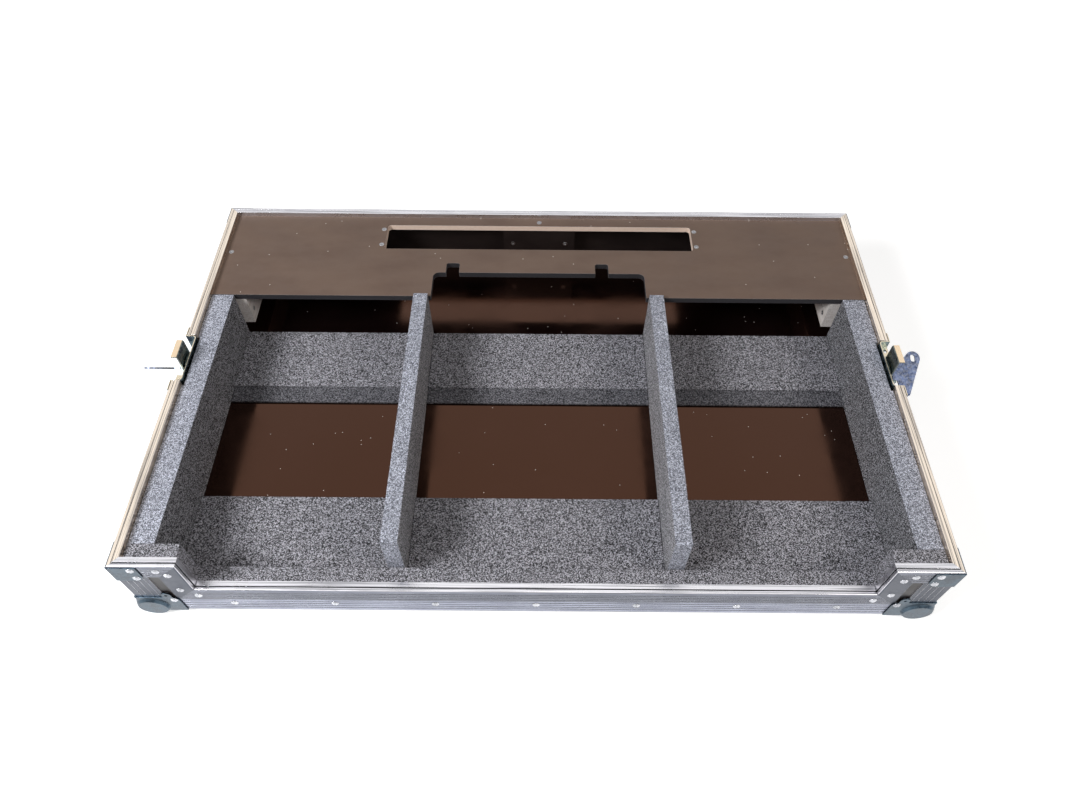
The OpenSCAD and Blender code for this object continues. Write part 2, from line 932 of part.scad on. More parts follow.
// Pressed steel ball over a bottom corner, with a leaf on both walls and one below,
// folded round the three edges between them
module ball_corner(k) {
    color(zinc) lifted() difference() {
        at_corner(k) difference() {
            union() {
                intersection() {
                    translate([-ball_in, ball_in, ball_in]) sphere(ball_r, $fn = 96);
                    block([-2 * ball_r, -ball_out, -ball_out], [ball_out, 2 * ball_r, 2 * ball_r]);
                }
                rotate([90, 0, 0]) linear_extrude(ball_leaf_t) ball_leaf();
                rotate([90, 0, 90]) mirror([1, 0, 0]) linear_extrude(ball_leaf_t) ball_leaf();
                block([-leaf_h, 0, -ball_leaf_t], [0, leaf_h, 0]);
                cylinder(r = ball_leaf_t, h = leaf_h);
                rotate([0, -90, 0]) cylinder(r = ball_leaf_t, h = leaf_h);
                rotate([-90, 0, 0]) cylinder(r = ball_leaf_t, h = leaf_h);
            }
            block([-case_w / 2, 0, 0], [0, case_d / 2, case_h]);
        }
        corner_holes(k);
    }
}

module ball_corner_front_right() { ball_corner(0); }
module ball_corner_rear_right() { ball_corner(1); }
module ball_corner_rear_left() { ball_corner(2); }
module ball_corner_front_left() { ball_corner(3); }

// Feet

function foot_places() = [
    for (s = [-1, 1], t = [-1, 1]) [s * (case_w / 2 - foot_in), t * (case_d / 2 - foot_in)]];

module rubber_feet() {
    h = rail_t + foot_drop;
    color("black") for (p = foot_places()) translate([p[0], p[1], 0]) difference() {
        cylinder(r1 = foot_r - foot_taper, r2 = foot_r, h = h);
        translate([0, 0, -cut]) cylinder(r = foot_bore_r, h = foot_bore_depth + cut);
        translate([0, 0, -cut]) cylinder(r = screw_r + screw_slack, h = h + 2 * cut);
    }
}

module foot_screws() {
    color(zinc) for (p = foot_places()) translate([p[0], p[1], foot_bore_depth]) {
        translate([0, 0, -screw_head_h]) difference() {
            cylinder(r = screw_head_r, h = screw_head_h);
            translate([0, 0, -cut]) cylinder(r = drive_r, h = drive_depth + cut, $fn = 6);
        }
        translate([0, 0, -screw_head_h / 2])
            cylinder(r = screw_r, h = foot_screw_len + screw_head_h / 2);
    }
}

// Fasteners

module frame_rivets() {
    color(alu) lifted() {
        for (k = [0 : 3]) on_wall(k) {
            rivets(base_row(k), 0);
            rivets(rail_row(k), 0);
        }
        on_wall(0) rivets(front_rows(), 0);
    }
}

module corner_rivets() {
    color(alu) lifted() for (k = [0 : 3]) on_wall(k) {
        rivets(brace_row(k), brace_t);
        rivets(ball_row(k), ball_leaf_t);
    }
}

module latch_rivets() {
    color(alu) lifted() for (k = [1, 3]) on_wall(k) rivets(latch_row(k), sheet_t);
}

module shelf_screws() {
    color(zinc) lifted() {
        for (p = shelf_screw_places())
            translate([p[0], p[1], shelf_top]) screw(shelf_screw_len);
        for (p = slot_screw_places())
            translate([p[0], p[1], shelf_top]) screw(slot_screw_len);
    }
}

module batten_screws() {
    top = shelf_top - shelf_t;
    color(zinc) lifted() {
        for (s = [-1, 1], y = batten_screw_ys()) scale([s, 1, 1])
            translate([board_in_x - batten_w, y, top - batten_h + batten_screw_z])
                rotate([0, -90, 0]) screw(batten_screw_len);
        for (x = block_screw_xs())
            translate([x, board_in_y - block_t, top - block_h + block_screw_z])
                rotate([90, 0, 0]) screw(block_screw_len);
    }
}

module floor_screws() {
    color(zinc) lifted() for (p = floor_screw_places())
        translate([p[0], p[1], floor_top]) screw(floor_screw_len);
}

// Latch

function hook_lift(turn) = hook_travel * turn / 180;

// Plan of the dish: a pocket with round inner corners and a lap on each side
module dish_plan() {
    inner = pocket_w / 2;
    outer = inner + sheet_t;
    deep = pocket_d + sheet_t;
    difference() {
        union() {
            round_rect([-deep, -outer], [dish_round, outer], dish_round);
            translate([0, -outer - dish_lap]) square([sheet_t, 2 * (outer + dish_lap)]);
        }
        round_rect([-pocket_d, -inner], [3 * dish_round, inner], dish_round - sheet_t);
        translate([sheet_t, -outer - cut]) square([3 * dish_round, 2 * (outer + cut)]);
    }
}

module latch_dish(k) {
    outer = pocket_w / 2 + sheet_t;
    low = -pocket_h;
    guide_y = plate_w / 2 + plate_slack;
    color(zinc) lifted() difference() {
        on_latch(k) difference() {
            union() {
                translate([0, 0, low]) linear_extrude(-low - dish_top_drop) dish_plan();
                block([-pocket_d - sheet_t + dish_round, -outer, low - sheet_t], [sheet_t, outer, low]);
                translate([0, 0, low - sheet_t]) linear_extrude(sheet_t)
                    round_rect([-pocket_d - sheet_t, -outer], [0, outer], dish_round);
                block([0, -outer - dish_lap, low - dish_lap_low], [sheet_t, outer + dish_lap, low]);
                block([-pocket_d - cut / 2, outer - tab_w - sheet_t, -tab_drop - tab_t],
                    [sheet_t, outer - sheet_t / 2, -tab_drop]);
                for (s = [-1, 1]) scale([1, s, 1]) {
                    block([-pocket_d - cut / 2, guide_y, low + guide_low],
                        [plate_x + plate_t + plate_slack, guide_y + guide_t, low + guide_low + guide_h]);
                    block([plate_x + plate_t + plate_slack, guide_y - guide_lip, low + guide_low],
                        [plate_x + plate_t + plate_slack + guide_t, guide_y + guide_t,
                            low + guide_low + guide_h]);
                }
            }
            translate([-pocket_d - sheet_t - cut, 0, -drum_drop]) rotate([0, 90, 0])
                cylinder(r = shaft_r + shaft_slack / 2, h = sheet_t + 2 * cut);
            translate([-tab_hole_r - sheet_t, outer - sheet_t - tab_hole_in, -tab_drop - tab_t - cut])
                cylinder(r = tab_hole_r, h = tab_t + 2 * cut);
        }
        on_wall(1 + 2 * k) rivet_holes(latch_row(1));
    }
}

module latch_dish_right() { latch_dish(0); }
module latch_dish_left() { latch_dish(1); }

// Side view of the hook plate, with its top bent outwards over a radius
module hook_section(low, high) {
    translate([plate_x, low]) square([plate_t, high - low - plate_bend]);
    translate([plate_x + plate_bend, high - plate_t]) square([plate_lip - plate_bend, plate_t]);
    translate([plate_x + plate_bend, high - plate_bend]) intersection() {
        difference() {
            circle(plate_bend);
            circle(plate_bend - plate_t);
        }
        translate([-plate_bend, 0]) square(plate_bend);
    }
}

// Hook plate drawn shut, then raised by what the drum has turned
module latch_hook(k, turn) {
    low = -pocket_h + plate_low;
    color([0.30, 0.36, 0.42]) lifted() on_latch(k) translate([0, 0, hook_lift(turn)]) difference() {
        translate([0, plate_w / 2, 0]) rotate([90, 0, 0]) linear_extrude(plate_w)
            hook_section(low, plate_rise);
        translate([plate_x - cut, 0, -drum_drop]) rotate([90, 0, 90]) linear_extrude(plate_t + 2 * cut)
            link([0, 0], shaft_r + shaft_slack, [0, -hook_travel], shaft_r + shaft_slack);
        translate([plate_x - cut, 0, -drum_drop + cam_min_r]) rotate([0, 90, 0])
            cylinder(r = follower_r + rivet_slack, h = plate_t + 2 * cut);
    }
}

module latch_hook_right() { latch_hook(0, right_turn); }
module latch_hook_left() { latch_hook(1, left_turn); }

// Brass follower staked into the hook plate, which runs in the drum's scroll slot
module latch_follower(k, turn) {
    front = plate_x + plate_t;
    color([0.85, 0.62, 0.22]) lifted() on_latch(k)
        translate([0, 0, hook_lift(turn) - drum_drop + cam_min_r]) rotate([90, 0, 90]) {
            translate([0, 0, cam_x]) cylinder(r = follower_r, h = front - cam_x + follower_head_t / 2);
            translate([0, 0, front]) linear_extrude(follower_head_t) polygon([
                for (i = [0 : 2 * star_points - 1]) let (
                    r = i % 2 == 0 ? follower_head_r : star_share * follower_head_r + follower_r / 2,
                    a = 180 * i / star_points) r * [cos(a), sin(a)]]);
        }
}

module latch_follower_right() { latch_follower(0, right_turn); }
module latch_follower_left() { latch_follower(1, left_turn); }

// Distance of the scroll slot from the shaft after a share of its half turn
function scroll_r(share) = cam_min_r + hook_travel * share;

// Scroll slot: its middle moves out steadily from the top, shut, to the bottom, open
module scroll_slot() {
    steps = 24;
    half = follower_r + follower_slack;
    function side(i, s) = let (a = 90 + 180 * i / steps, r = scroll_r(i / steps) + s * half)
        r * [cos(a), sin(a)];
    polygon(concat([for (i = [0 : steps]) side(i, -1)], [for (i = [steps : -1 : 0]) side(i, 1)]));
    translate(scroll_r(0) * [0, 1]) circle(half);
    translate(scroll_r(1) * [0, -1]) circle(half);
}

// Drum: tail behind the dish, shaft, scroll cam behind the hook plate, and a yoke in front
module latch_drum(k, turn) {
    back = -pocket_d - sheet_t - tail_gap;
    ear_out = ear_gap / 2 + ear_t;
    color(zinc) lifted() on_latch(k) on_drum(turn) difference() {
        union() {
            rotate([0, 90, 0]) {
                translate([0, 0, back - tail_t]) cylinder(r = tail_r, h = tail_t);
                translate([0, 0, back - tail_t]) cylinder(r = shaft_r, h = yoke_x + yoke_t - back + tail_t);
            }
            translate([cam_x, 0, 0]) rotate([90, 0, 90]) linear_extrude(cam_t) difference() {
                circle(cam_r);
                scroll_slot();
            }
            block([yoke_x, -ear_out, -yoke_w / 2], [yoke_x + yoke_t, ear_out, yoke_w / 2]);
            for (s = [-1, 1]) translate([0, s * (ear_gap + ear_t) / 2 + ear_t / 2, 0])
                rotate([90, 0, 0]) linear_extrude(ear_t) {
                    translate([yoke_x, -ear_round]) square([hinge_x - yoke_x, 2 * ear_round]);
                    translate([hinge_x, 0]) circle(ear_round);
                }
        }
        translate([hinge_x, ear_out + cut, 0]) rotate([90, 0, 0])
            cylinder(r = hinge_pin_r + hinge_slack, h = 2 * (ear_out + cut));
    }
}

module latch_drum_right() { latch_drum(0, right_turn); }
module latch_drum_left() { latch_drum(1, left_turn); }

// Hinge pin with a head at both ends
module latch_pin(k, turn) {
    ear_out = ear_gap / 2 + ear_t;
    color(zinc) lifted() on_latch(k) on_drum(turn) translate([hinge_x, 0, 0]) rotate([90, 0, 0]) {
        cylinder(r = hinge_pin_r, h = 2 * ear_out + pin_head_t, center = true);
        for (s = [-1, 1]) translate([0, 0, s * (ear_out + pin_head_t / 2)])
            cylinder(r = pin_head_r, h = pin_head_t, center = true);
    }
}

module latch_pin_right() { latch_pin(0, right_turn); }
module latch_pin_left() { latch_pin(1, left_turn); }

// Outline of the wing: a large lobe with a hole, a small one, and the root at the hinge
module wing_outline() {
    root = [for (s = [-1, 1]) [s * wing_root[0], wing_root[1]]];
    half = ear_gap / 2 - knuckle_slack;
    difference() {
        union() {
            link(big_lobe, big_lobe_r, small_lobe, small_lobe_r);
            link(big_lobe, big_lobe_r, root[0], wing_root_r);
            link(small_lobe, small_lobe_r, root[1], wing_root_r);
            polygon([big_lobe, small_lobe, root[1], root[0]]);
            translate([-half, hinge_x]) square([2 * half, wing_root[1] - hinge_x]);
        }
        link(big_lobe - [wing_hole_run, 0], wing_hole_r, big_lobe + [wing_hole_run, 0], wing_hole_r);
    }
}

module latch_wing(k, turn) {
    half = ear_gap / 2 - knuckle_slack;
    color([0.42, 0.48, 0.62]) lifted() on_latch(k) on_drum(turn) difference() {
        union() {
            translate([0, 0, -wing_t / 2]) linear_extrude(wing_t)
                mirror([1, -1]) wing_outline();
            translate([hinge_x, half, 0]) rotate([90, 0, 0]) cylinder(r = knuckle_r, h = 2 * half);
        }
        translate([hinge_x, half + cut, 0]) rotate([90, 0, 0])
            cylinder(r = hinge_pin_r + hinge_slack, h = 2 * (half + cut));
    }
}

module latch_wing_right() { latch_wing(0, right_turn); }
module latch_wing_left() { latch_wing(1, left_turn); }

floor_panel();
floor_battens();
front_panel();
rear_panel();
left_panel();
right_panel();
rear_shelf();
shelf_batten_left();
shelf_batten_right();
shelf_centre_block();
side_foam_left();
side_foam_right();
front_foam_lining();
front_ledge_foam();
rear_ledge_foam();
divider_foam_left();
divider_foam_right();
rear_rail();
left_rail();
right_rail();
front_rail_left();
front_rail_right();
notch_rail_left();
notch_rail_right();
low_front_rail();
bottom_angle_front();
bottom_angle_right();
bottom_angle_rear();
bottom_angle_left();
corner_angle_front_left();
corner_angle_front_right();
corner_angle_rear_right();
corner_angle_rear_left();
ball_corner_front_left();
ball_corner_front_right();
ball_corner_rear_right();
ball_corner_rear_left();
corner_braces();
rubber_feet();
foot_screws();
frame_rivets();
corner_rivets();
latch_rivets();
shelf_screws();
batten_screws();
floor_screws();
latch_dish_right();
latch_hook_right();
latch_follower_right();
latch_drum_right();
latch_wing_right();
latch_pin_right();
latch_dish_left();
latch_hook_left();
latch_follower_left();
latch_drum_left();
latch_wing_left();
latch_pin_left();
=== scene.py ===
# %% [markdown]
# # The open base of a flight case
#
# The object is the lower half of a flight case for a mixer and two players. Its lid is off.
# Film-faced boards stand in bright aluminium rails, and foam blocks divide the inside into bays.
# The rigid pieces are already modelled and only need their finishes here. The foam is modelled
# here, because foam lives from its soft edges and its grain. Each step below says what the real
# piece or finish is, how it could be made, and why it is made the way it is.

# %% Start from the rigid frame
import math
import bmesh
import bpy
from mathutils import Matrix, Vector, noise


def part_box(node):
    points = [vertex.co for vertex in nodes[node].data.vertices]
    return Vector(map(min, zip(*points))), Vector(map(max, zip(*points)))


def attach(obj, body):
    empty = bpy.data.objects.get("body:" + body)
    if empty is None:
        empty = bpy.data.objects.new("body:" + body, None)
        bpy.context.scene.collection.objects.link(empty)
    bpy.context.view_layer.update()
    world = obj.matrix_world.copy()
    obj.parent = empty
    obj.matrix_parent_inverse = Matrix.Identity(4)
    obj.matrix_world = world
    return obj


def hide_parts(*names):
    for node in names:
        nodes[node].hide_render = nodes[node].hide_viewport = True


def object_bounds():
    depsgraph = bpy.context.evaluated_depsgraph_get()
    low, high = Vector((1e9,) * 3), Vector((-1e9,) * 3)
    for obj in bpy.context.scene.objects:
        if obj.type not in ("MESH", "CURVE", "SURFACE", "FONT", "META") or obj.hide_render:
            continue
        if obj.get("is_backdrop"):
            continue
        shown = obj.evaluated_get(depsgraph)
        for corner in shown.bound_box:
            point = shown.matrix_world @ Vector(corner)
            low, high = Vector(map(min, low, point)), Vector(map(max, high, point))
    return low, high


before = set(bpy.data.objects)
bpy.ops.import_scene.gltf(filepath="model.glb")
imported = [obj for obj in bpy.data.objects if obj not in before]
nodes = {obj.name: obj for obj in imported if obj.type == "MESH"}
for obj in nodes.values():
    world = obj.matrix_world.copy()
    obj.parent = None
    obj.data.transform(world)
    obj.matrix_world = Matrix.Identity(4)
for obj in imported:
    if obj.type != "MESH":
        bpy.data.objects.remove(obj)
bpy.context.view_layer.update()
mm = 0.001

# %% [markdown]
# ## The camera
#
# The photograph was taken with a wide phone lens, from the front and from about a metre up.
# The camera could be aimed with a Track To constraint, but a photograph has a small roll and a
# small turn that such an aim can't hold. So the direction is written as three angles, and the
# camera's own axes are worked out from them: right, up and back.

# %% The camera
lens_length = 26.35
camera_place = Vector((0.5, -683.8, 969.8)) * mm
look_down = math.radians(54.02)
look_right = math.radians(0.24)
roll = math.radians(0.66)

forward = Vector((
    math.sin(look_right) * math.cos(look_down),
    math.cos(look_right) * math.cos(look_down),
    -math.sin(look_down)))
level_right = Vector((math.cos(look_right), -math.sin(look_right), 0))
level_up = level_right.cross(forward)
right = level_right * math.cos(roll) + level_up * math.sin(roll)
up = level_up * math.cos(roll) - level_right * math.sin(roll)

camera = bpy.data.objects.new("camera", bpy.data.cameras.new("camera"))
bpy.context.scene.collection.objects.link(camera)
camera.data.lens = lens_length
turned = Matrix((right, up, -forward)).transposed().to_4x4()
camera.matrix_world = Matrix.Translation(camera_place) @ turned
bpy.context.scene.camera = camera
print("camera stands", round(camera_place.z, 3), "m above the floor")

# %% [markdown]
# ## Small helpers for nodes
#
# A material is a graph of nodes. Placing them by hand in the editor is fine for one material,
# but a dozen materials share the same moves: add a node, set its options, fill or link its
# inputs. A few short functions do these, so that each material reads as a recipe.

# %% Helpers for nodes
def fill(tree, socket, value):
    """Links a socket to another one, or writes a plain value on it."""
    if isinstance(value, bpy.types.NodeSocket):
        tree.links.new(value, socket)
    elif socket.type == "RGBA":
        socket.default_value = (*value, 1)
    else:
        socket.default_value = value


def put(tree, kind, inputs=None, **options):
    """Adds a node, sets its options, and gives each input a value or a link."""
    made = tree.nodes.new(kind)
    for name, value in options.items():
        setattr(made, name, value)
    for name, value in (inputs or {}).items():
        fill(tree, made.inputs[name], value)
    return made


def calc(tree, operation, a, b=0.0):
    """One Math node, for values."""
    return put(tree, "ShaderNodeMath", {0: a, 1: b}, operation=operation).outputs[0]


def add_share(tree, a, b, share):
    """The value a plus a share of b."""
    return calc(tree, "ADD", a, calc(tree, "MULTIPLY", b, share))


def vector_calc(tree, operation, a, b=(0.0, 0.0, 0.0)):
    """One Vector Math node; a dot product and a length give a value, the rest a vector."""
    made = put(tree, "ShaderNodeVectorMath", {0: a, 1: b}, operation=operation).outputs
    return made["Value"] if operation in ("DOT_PRODUCT", "LENGTH") else made["Vector"]


def axes(tree, vector):
    """The x, y and z of a vector."""
    return put(tree, "ShaderNodeSeparateXYZ", {0: vector}).outputs


def blend(tree, share, a, b):
    """A colour between a and b."""
    return put(tree, "ShaderNodeMix", {0: share, 6: a, 7: b}, data_type="RGBA").outputs[2]


def tint(tree, base, mask, strength, colour):
    """The colour base, turned towards another one where the mask is 1, by strength at most."""
    return blend(tree, calc(tree, "MULTIPLY", mask, strength), base, colour)


def remap(tree, value, low, high, to_low=0.0, to_high=1.0):
    """Spreads low..high over to_low..to_high, smoothly, and holds it there."""
    made = put(tree, "ShaderNodeMapRange", {0: value, 1: low, 2: high, 3: to_low, 4: to_high},
               interpolation_type="SMOOTHSTEP")
    return made.outputs[0]


def ramp(tree, value, stops):
    """A colour read off a row of (position, colour) stops."""
    made = put(tree, "ShaderNodeValToRGB", {0: value})
    row = made.color_ramp.elements
    while len(row) < len(stops):
        row.new(0.5)
    for stop, (position, colour) in zip(row, stops):
        stop.position, stop.color = position, (*colour, 1)
    return made.outputs[0]


def place(tree):
    """The point being shaded, in metres, in the object's own space."""
    return put(tree, "ShaderNodeTexCoord").outputs["Object"]


def scale_for(tree, size):
    """The scale of a texture whose features are size millimetres wide."""
    return calc(tree, "DIVIDE", 1 / mm, size)


def cell_value(tree, texture, channel):
    """A random value for each cell of a Voronoi texture; each channel gives another one."""
    return put(tree, "ShaderNodeSeparateColor", {0: texture.outputs["Color"]}).outputs[channel]


def new_group(name, inputs, outputs):
    """An empty node group with named sockets; returns its tree, its input and its output node."""
    tree = bpy.data.node_groups.new(name, "ShaderNodeTree")
    for label, (kind, value) in inputs.items():
        socket = tree.interface.new_socket(label, in_out="INPUT", socket_type="NodeSocket" + kind)
        socket.default_value = (*value, 1) if kind == "Color" else value
    for label, kind in outputs.items():
        tree.interface.new_socket(label, in_out="OUTPUT", socket_type="NodeSocket" + kind)
    return tree, put(tree, "NodeGroupInput").outputs, put(tree, "NodeGroupOutput").inputs


def use_group(tree, group, **inputs):
    """Places a group in a material; words joined by _ stand for the spaces in a socket's name."""
    made = put(tree, "ShaderNodeGroup", node_tree=group)
    for name, value in inputs.items():
        fill(tree, made.inputs[name.replace("_", " ")], value)
    return made.outputs


print("helpers ready")

# %% [markdown]
# ## Shared effects
#
# Several finishes share the same small effects, so each is a node group that is built once and
# placed with its own values. All sizes that a group is given are in millimetres.
#
# *Cells* is the grain of closed-cell foam: bubbles about a millimetre wide, each catching the
# light in its own way. A Voronoi texture has exactly such cells, and its Color output is a random
# value per cell. Two of them, a coarse and a fine one, are added up. Most bubbles are dark and a
# few sparkle, so the spread between the two tones starts late.

# %% The grain of foam
fine_cells_per_cell = 1.9
coarse_share, fine_share = 0.65, 0.35
dark_until, light_from = 0.33, 0.93
fine_height = 0.4

cells_group, given, result = new_group(
    "Cells",
    {"Cell Size": ("Float", 1.2),
     "Dark": ("Color", (0.1, 0.1, 0.1)), "Light": ("Color", (0.4, 0.4, 0.4))},
    {"Color": "Color", "Height": "Float"})
point = place(cells_group)
coarse_scale = scale_for(cells_group, given["Cell Size"])
fine_scale = calc(cells_group, "MULTIPLY", coarse_scale, fine_cells_per_cell)
coarse, fine = [put(cells_group, "ShaderNodeTexVoronoi", {"Vector": point, "Scale": scale})
                for scale in (coarse_scale, fine_scale)]
grain = calc(cells_group, "MULTIPLY", cell_value(cells_group, coarse, 0), coarse_share)
grain = add_share(cells_group, grain, cell_value(cells_group, fine, 1), fine_share)
spread = remap(cells_group, grain, dark_until, light_from)
height = add_share(cells_group, coarse.outputs["Distance"], fine.outputs["Distance"], fine_height)
fill(cells_group, result["Color"], blend(cells_group, spread, given["Dark"], given["Light"]))
fill(cells_group, result["Height"], height)
print("built group", cells_group.name)

# %% [markdown]
# *Clouds* is the uneven sheen that hands, packing and storage leave on any sheet: soft patches,
# from a few millimetres to a few centimetres wide. They change both the tone and the roughness a
# little, so that a large face is nowhere quite the same.

# %% Soft patches
patch_from, patch_full = 0.3, 0.7
clouds_group, given, result = new_group(
    "Clouds",
    {"Patch Size": ("Float", 60.0), "Stretch": ("Vector", (1.0, 1.0, 1.0))},
    {"Value": "Float"})
stretched = vector_calc(clouds_group, "MULTIPLY", place(clouds_group), given["Stretch"])
patches = put(clouds_group, "ShaderNodeTexNoise",
              {"Vector": stretched, "Scale": scale_for(clouds_group, given["Patch Size"]),
               "Detail": 4.0, "Roughness": 0.6})
fill(clouds_group, result["Value"],
     remap(clouds_group, patches.outputs[0], patch_from, patch_full))
print("built group", clouds_group.name)

# %% [markdown]
# *Drawn lines* are the fine lines that a die leaves along an extrusion. They run the whole length
# of a rail, so the noise is squeezed across the rail and stretched along it. The stretch is a
# vector, which lets one group serve rails that run along X, along Y and upright.

# %% Drawn lines
lines_group, given, result = new_group(
    "Drawn Lines",
    {"Line Width": ("Float", 0.4), "Stretch": ("Vector", (0.01, 1.0, 1.0))},
    {"Value": "Float"})
stretched = vector_calc(lines_group, "MULTIPLY", place(lines_group), given["Stretch"])
lines = put(lines_group, "ShaderNodeTexNoise",
            {"Vector": stretched, "Scale": scale_for(lines_group, given["Line Width"]),
             "Detail": 3.0, "Roughness": 0.65})
fill(lines_group, result["Value"], lines.outputs[0])
print("built group", lines_group.name)

# %% [markdown]
# *Specks* are crumbs of foam and sawdust that lie on a dark board. Most cells of a Voronoi texture
# stay empty: only a cell whose random value is low enough shows its centre as a small dot. The
# boards lie flat, so the texture is two-dimensional, seen from above.

# %% Specks
specks_group, given, result = new_group(
    "Specks",
    {"Spacing": ("Float", 9.0), "Share": ("Float", 0.05), "Dot Size": ("Float", 0.06)},
    {"Mask": "Float"})
dots = put(specks_group, "ShaderNodeTexVoronoi",
           {"Vector": place(specks_group), "Scale": scale_for(specks_group, given["Spacing"])},
           voronoi_dimensions="2D")
chosen = calc(specks_group, "LESS_THAN", cell_value(specks_group, dots, 2), given["Share"])
near = calc(specks_group, "LESS_THAN", dots.outputs["Distance"], given["Dot Size"])
fill(specks_group, result["Mask"], calc(specks_group, "MULTIPLY", chosen, near))
print("built group", specks_group.name)

# %% [markdown]
# *Worn and highlit edges* finds the edges of a hard piece. The materials make them lighter there,
# partly as wear and partly as a painted highlight. The Bevel node gives the normal that a rounded
# edge would have, and where it departs from the true normal, there is an edge. The dot product of
# the two is 1 where they agree and less on an edge. The rounded normal also goes out of the group,
# because no sheet metal edge is truly sharp.

# %% Worn edges
edge_from, edge_full = 0.995, 0.85
edges_group, given, result = new_group(
    "Worn And Highlit Edges",
    {"Radius": ("Float", 0.5)},
    {"Mask": "Float", "Normal": "Vector"})
radius = calc(edges_group, "MULTIPLY", given["Radius"], mm)
rounded = put(edges_group, "ShaderNodeBevel", {"Radius": radius}, samples=4).outputs[0]
flat = put(edges_group, "ShaderNodeNewGeometry").outputs["Normal"]
agreement = vector_calc(edges_group, "DOT_PRODUCT", rounded, flat)
fill(edges_group, result["Mask"], remap(edges_group, agreement, edge_from, edge_full))
fill(edges_group, result["Normal"], rounded)
print("built group", edges_group.name)

# %% [markdown]
# *Facing up* is 0 where a surface looks down, 0.5 where it stands upright and 1 where it looks up.
# The materials paint light with it: a painted highlight on the tops of the rails, the latch dishes
# and the hook lips, partly rubbed bright by hands and the lid, painted light on the upper side of
# each groove and painted shade on its lower side. The normal is taken in the piece's own space, so
# that these tones stay on a piece that moves.

# %% Facing up
up_group, given, result = new_group("Facing Up", {}, {"Value": "Float"})
own_normal = put(up_group, "ShaderNodeTexCoord").outputs["Normal"]
upward = axes(up_group, own_normal)[2]
fill(up_group, result["Value"], add_share(up_group, 0.5, upward, 0.5))
print("built group", up_group.name)

# %% [markdown]
# *Facing in* marks the faces that look towards the middle of the case. A normal that points back
# against its own place does so, which a dot product shows. The inner lips of the rails get a
# painted reflection as bright as their tops, because they mirror the room and not the floor.

# %% Facing in
inward_from, inward_full = -0.05, -0.20
in_group, given, result = new_group("Facing In", {}, {"Mask": "Float"})
coordinates = put(in_group, "ShaderNodeTexCoord").outputs
level_place = vector_calc(in_group, "MULTIPLY", coordinates["Object"], (1.0, 1.0, 0.0))
outward = vector_calc(in_group, "DOT_PRODUCT", coordinates["Normal"], level_place)
fill(in_group, result["Mask"], remap(in_group, outward, inward_from, inward_full))
print("built group", in_group.name)

# %% [markdown]
# *Grooves* is 1 on open metal and falls towards 0 down in a groove, where the groove's walls shade
# it. The materials darken it there with painted shade. The Ambient Occlusion node measures how open
# a point is within a millimetre or two.

# %% Grooves
closed_in, wide_open = 0.70, 0.95
grooves_group, given, result = new_group(
    "Grooves", {"Reach": ("Float", 1.6)}, {"Value": "Float"})
reach = calc(grooves_group, "MULTIPLY", given["Reach"], mm)
openness = put(grooves_group, "ShaderNodeAmbientOcclusion", {"Distance": reach},
               samples=6).outputs["AO"]
fill(grooves_group, result["Value"], remap(grooves_group, openness, closed_in, wide_open))
print("built group", grooves_group.name)

# %% [markdown]
# ## Finishes for the hard pieces
#
# Each finish is one short function that makes a material round a Principled BSDF. A value that is
# the same all over is written on the shader's own socket. What changes over the surface comes
# from the groups above.

# %% A material with its shader
def new_material(name, **constants):
    """A material with a Principled BSDF whose constant sockets are set by name."""
    made = bpy.data.materials.new(name)
    made.use_nodes = True
    tree = made.node_tree
    tree.nodes.clear()
    shader = put(tree, "ShaderNodeBsdfPrincipled")
    for label, value in constants.items():
        fill(tree, shader.inputs[label.replace("_", " ")], value)
    put(tree, "ShaderNodeOutputMaterial", {0: shader.outputs[0]})
    return made, tree, shader.inputs


def clouds(tree, size, stretch=(1.0, 1.0, 1.0)):
    """Soft patches, size millimetres wide."""
    return use_group(tree, clouds_group, Patch_Size=size, Stretch=stretch)["Value"]


def drawn_lines(tree, width, stretch):
    """Lines, width millimetres apart, along the axis that stretch squeezes."""
    return use_group(tree, lines_group, Line_Width=width, Stretch=stretch)["Value"]


def roughen(tree, shader, value, low, high):
    """Lets the roughness follow a value, from low to high."""
    fill(tree, shader["Roughness"], remap(tree, value, 0.0, 1.0, low, high))


def relief(tree, shader, height, strength, depth, normal=None):
    """A bump, depth millimetres deep, on top of a normal where one is given."""
    inputs = {"Height": height, "Strength": strength, "Distance": depth * mm}
    if normal is not None:
        inputs["Normal"] = normal
    fill(tree, shader["Normal"], put(tree, "ShaderNodeBump", inputs).outputs[0])


def finish_nodes(names, material):
    """Gives CAD nodes a finish in place of the plain colour they came with."""
    for name in names:
        nodes[name].data.materials.clear()
        nodes[name].data.materials.append(material)
    print(material.name, "on", len(names), "nodes")


# %% [markdown]
# ### Film-faced board
#
# The boards are birch plywood with a hard brown-black phenolic film. On the shelf the film is
# satin and rubbed, and its grey-brown tone is partly that wear and partly painted sheen of the
# room's light; on the floor it is nearly black and polished, and what looks brown is the room
# above, mirrored in the resin. Painting the floor brown would light its shaded margins too. So its
# colour is almost black and the brown is a tint of the reflection.

# %% Film-faced board
crumb = (0.75, 0.70, 0.66)
resin_tint = (1.0, 0.46, 0.28)


def film_board(name, tone, sheen, roughness, grime, **constants):
    """Film between tone and sheen in soft patches; grime is the share of cells with a crumb."""
    material, tree, shader = new_material(name, **constants)
    patches = clouds(tree, 90.0, (1.0, 1.6, 1.6))
    streaks = drawn_lines(tree, 6.0, (0.15, 1.0, 1.0))
    specks = use_group(tree, specks_group, Spacing=11.0, Share=grime, Dot_Size=0.05)["Mask"]
    mottled = blend(tree, calc(tree, "MULTIPLY", patches, streaks), tone, sheen)
    fill(tree, shader["Base Color"], blend(tree, specks, mottled, crumb))
    roughen(tree, shader, patches, roughness, roughness + 0.10)
    relief(tree, shader, clouds(tree, 25.0), 0.10, 0.15)
    return material


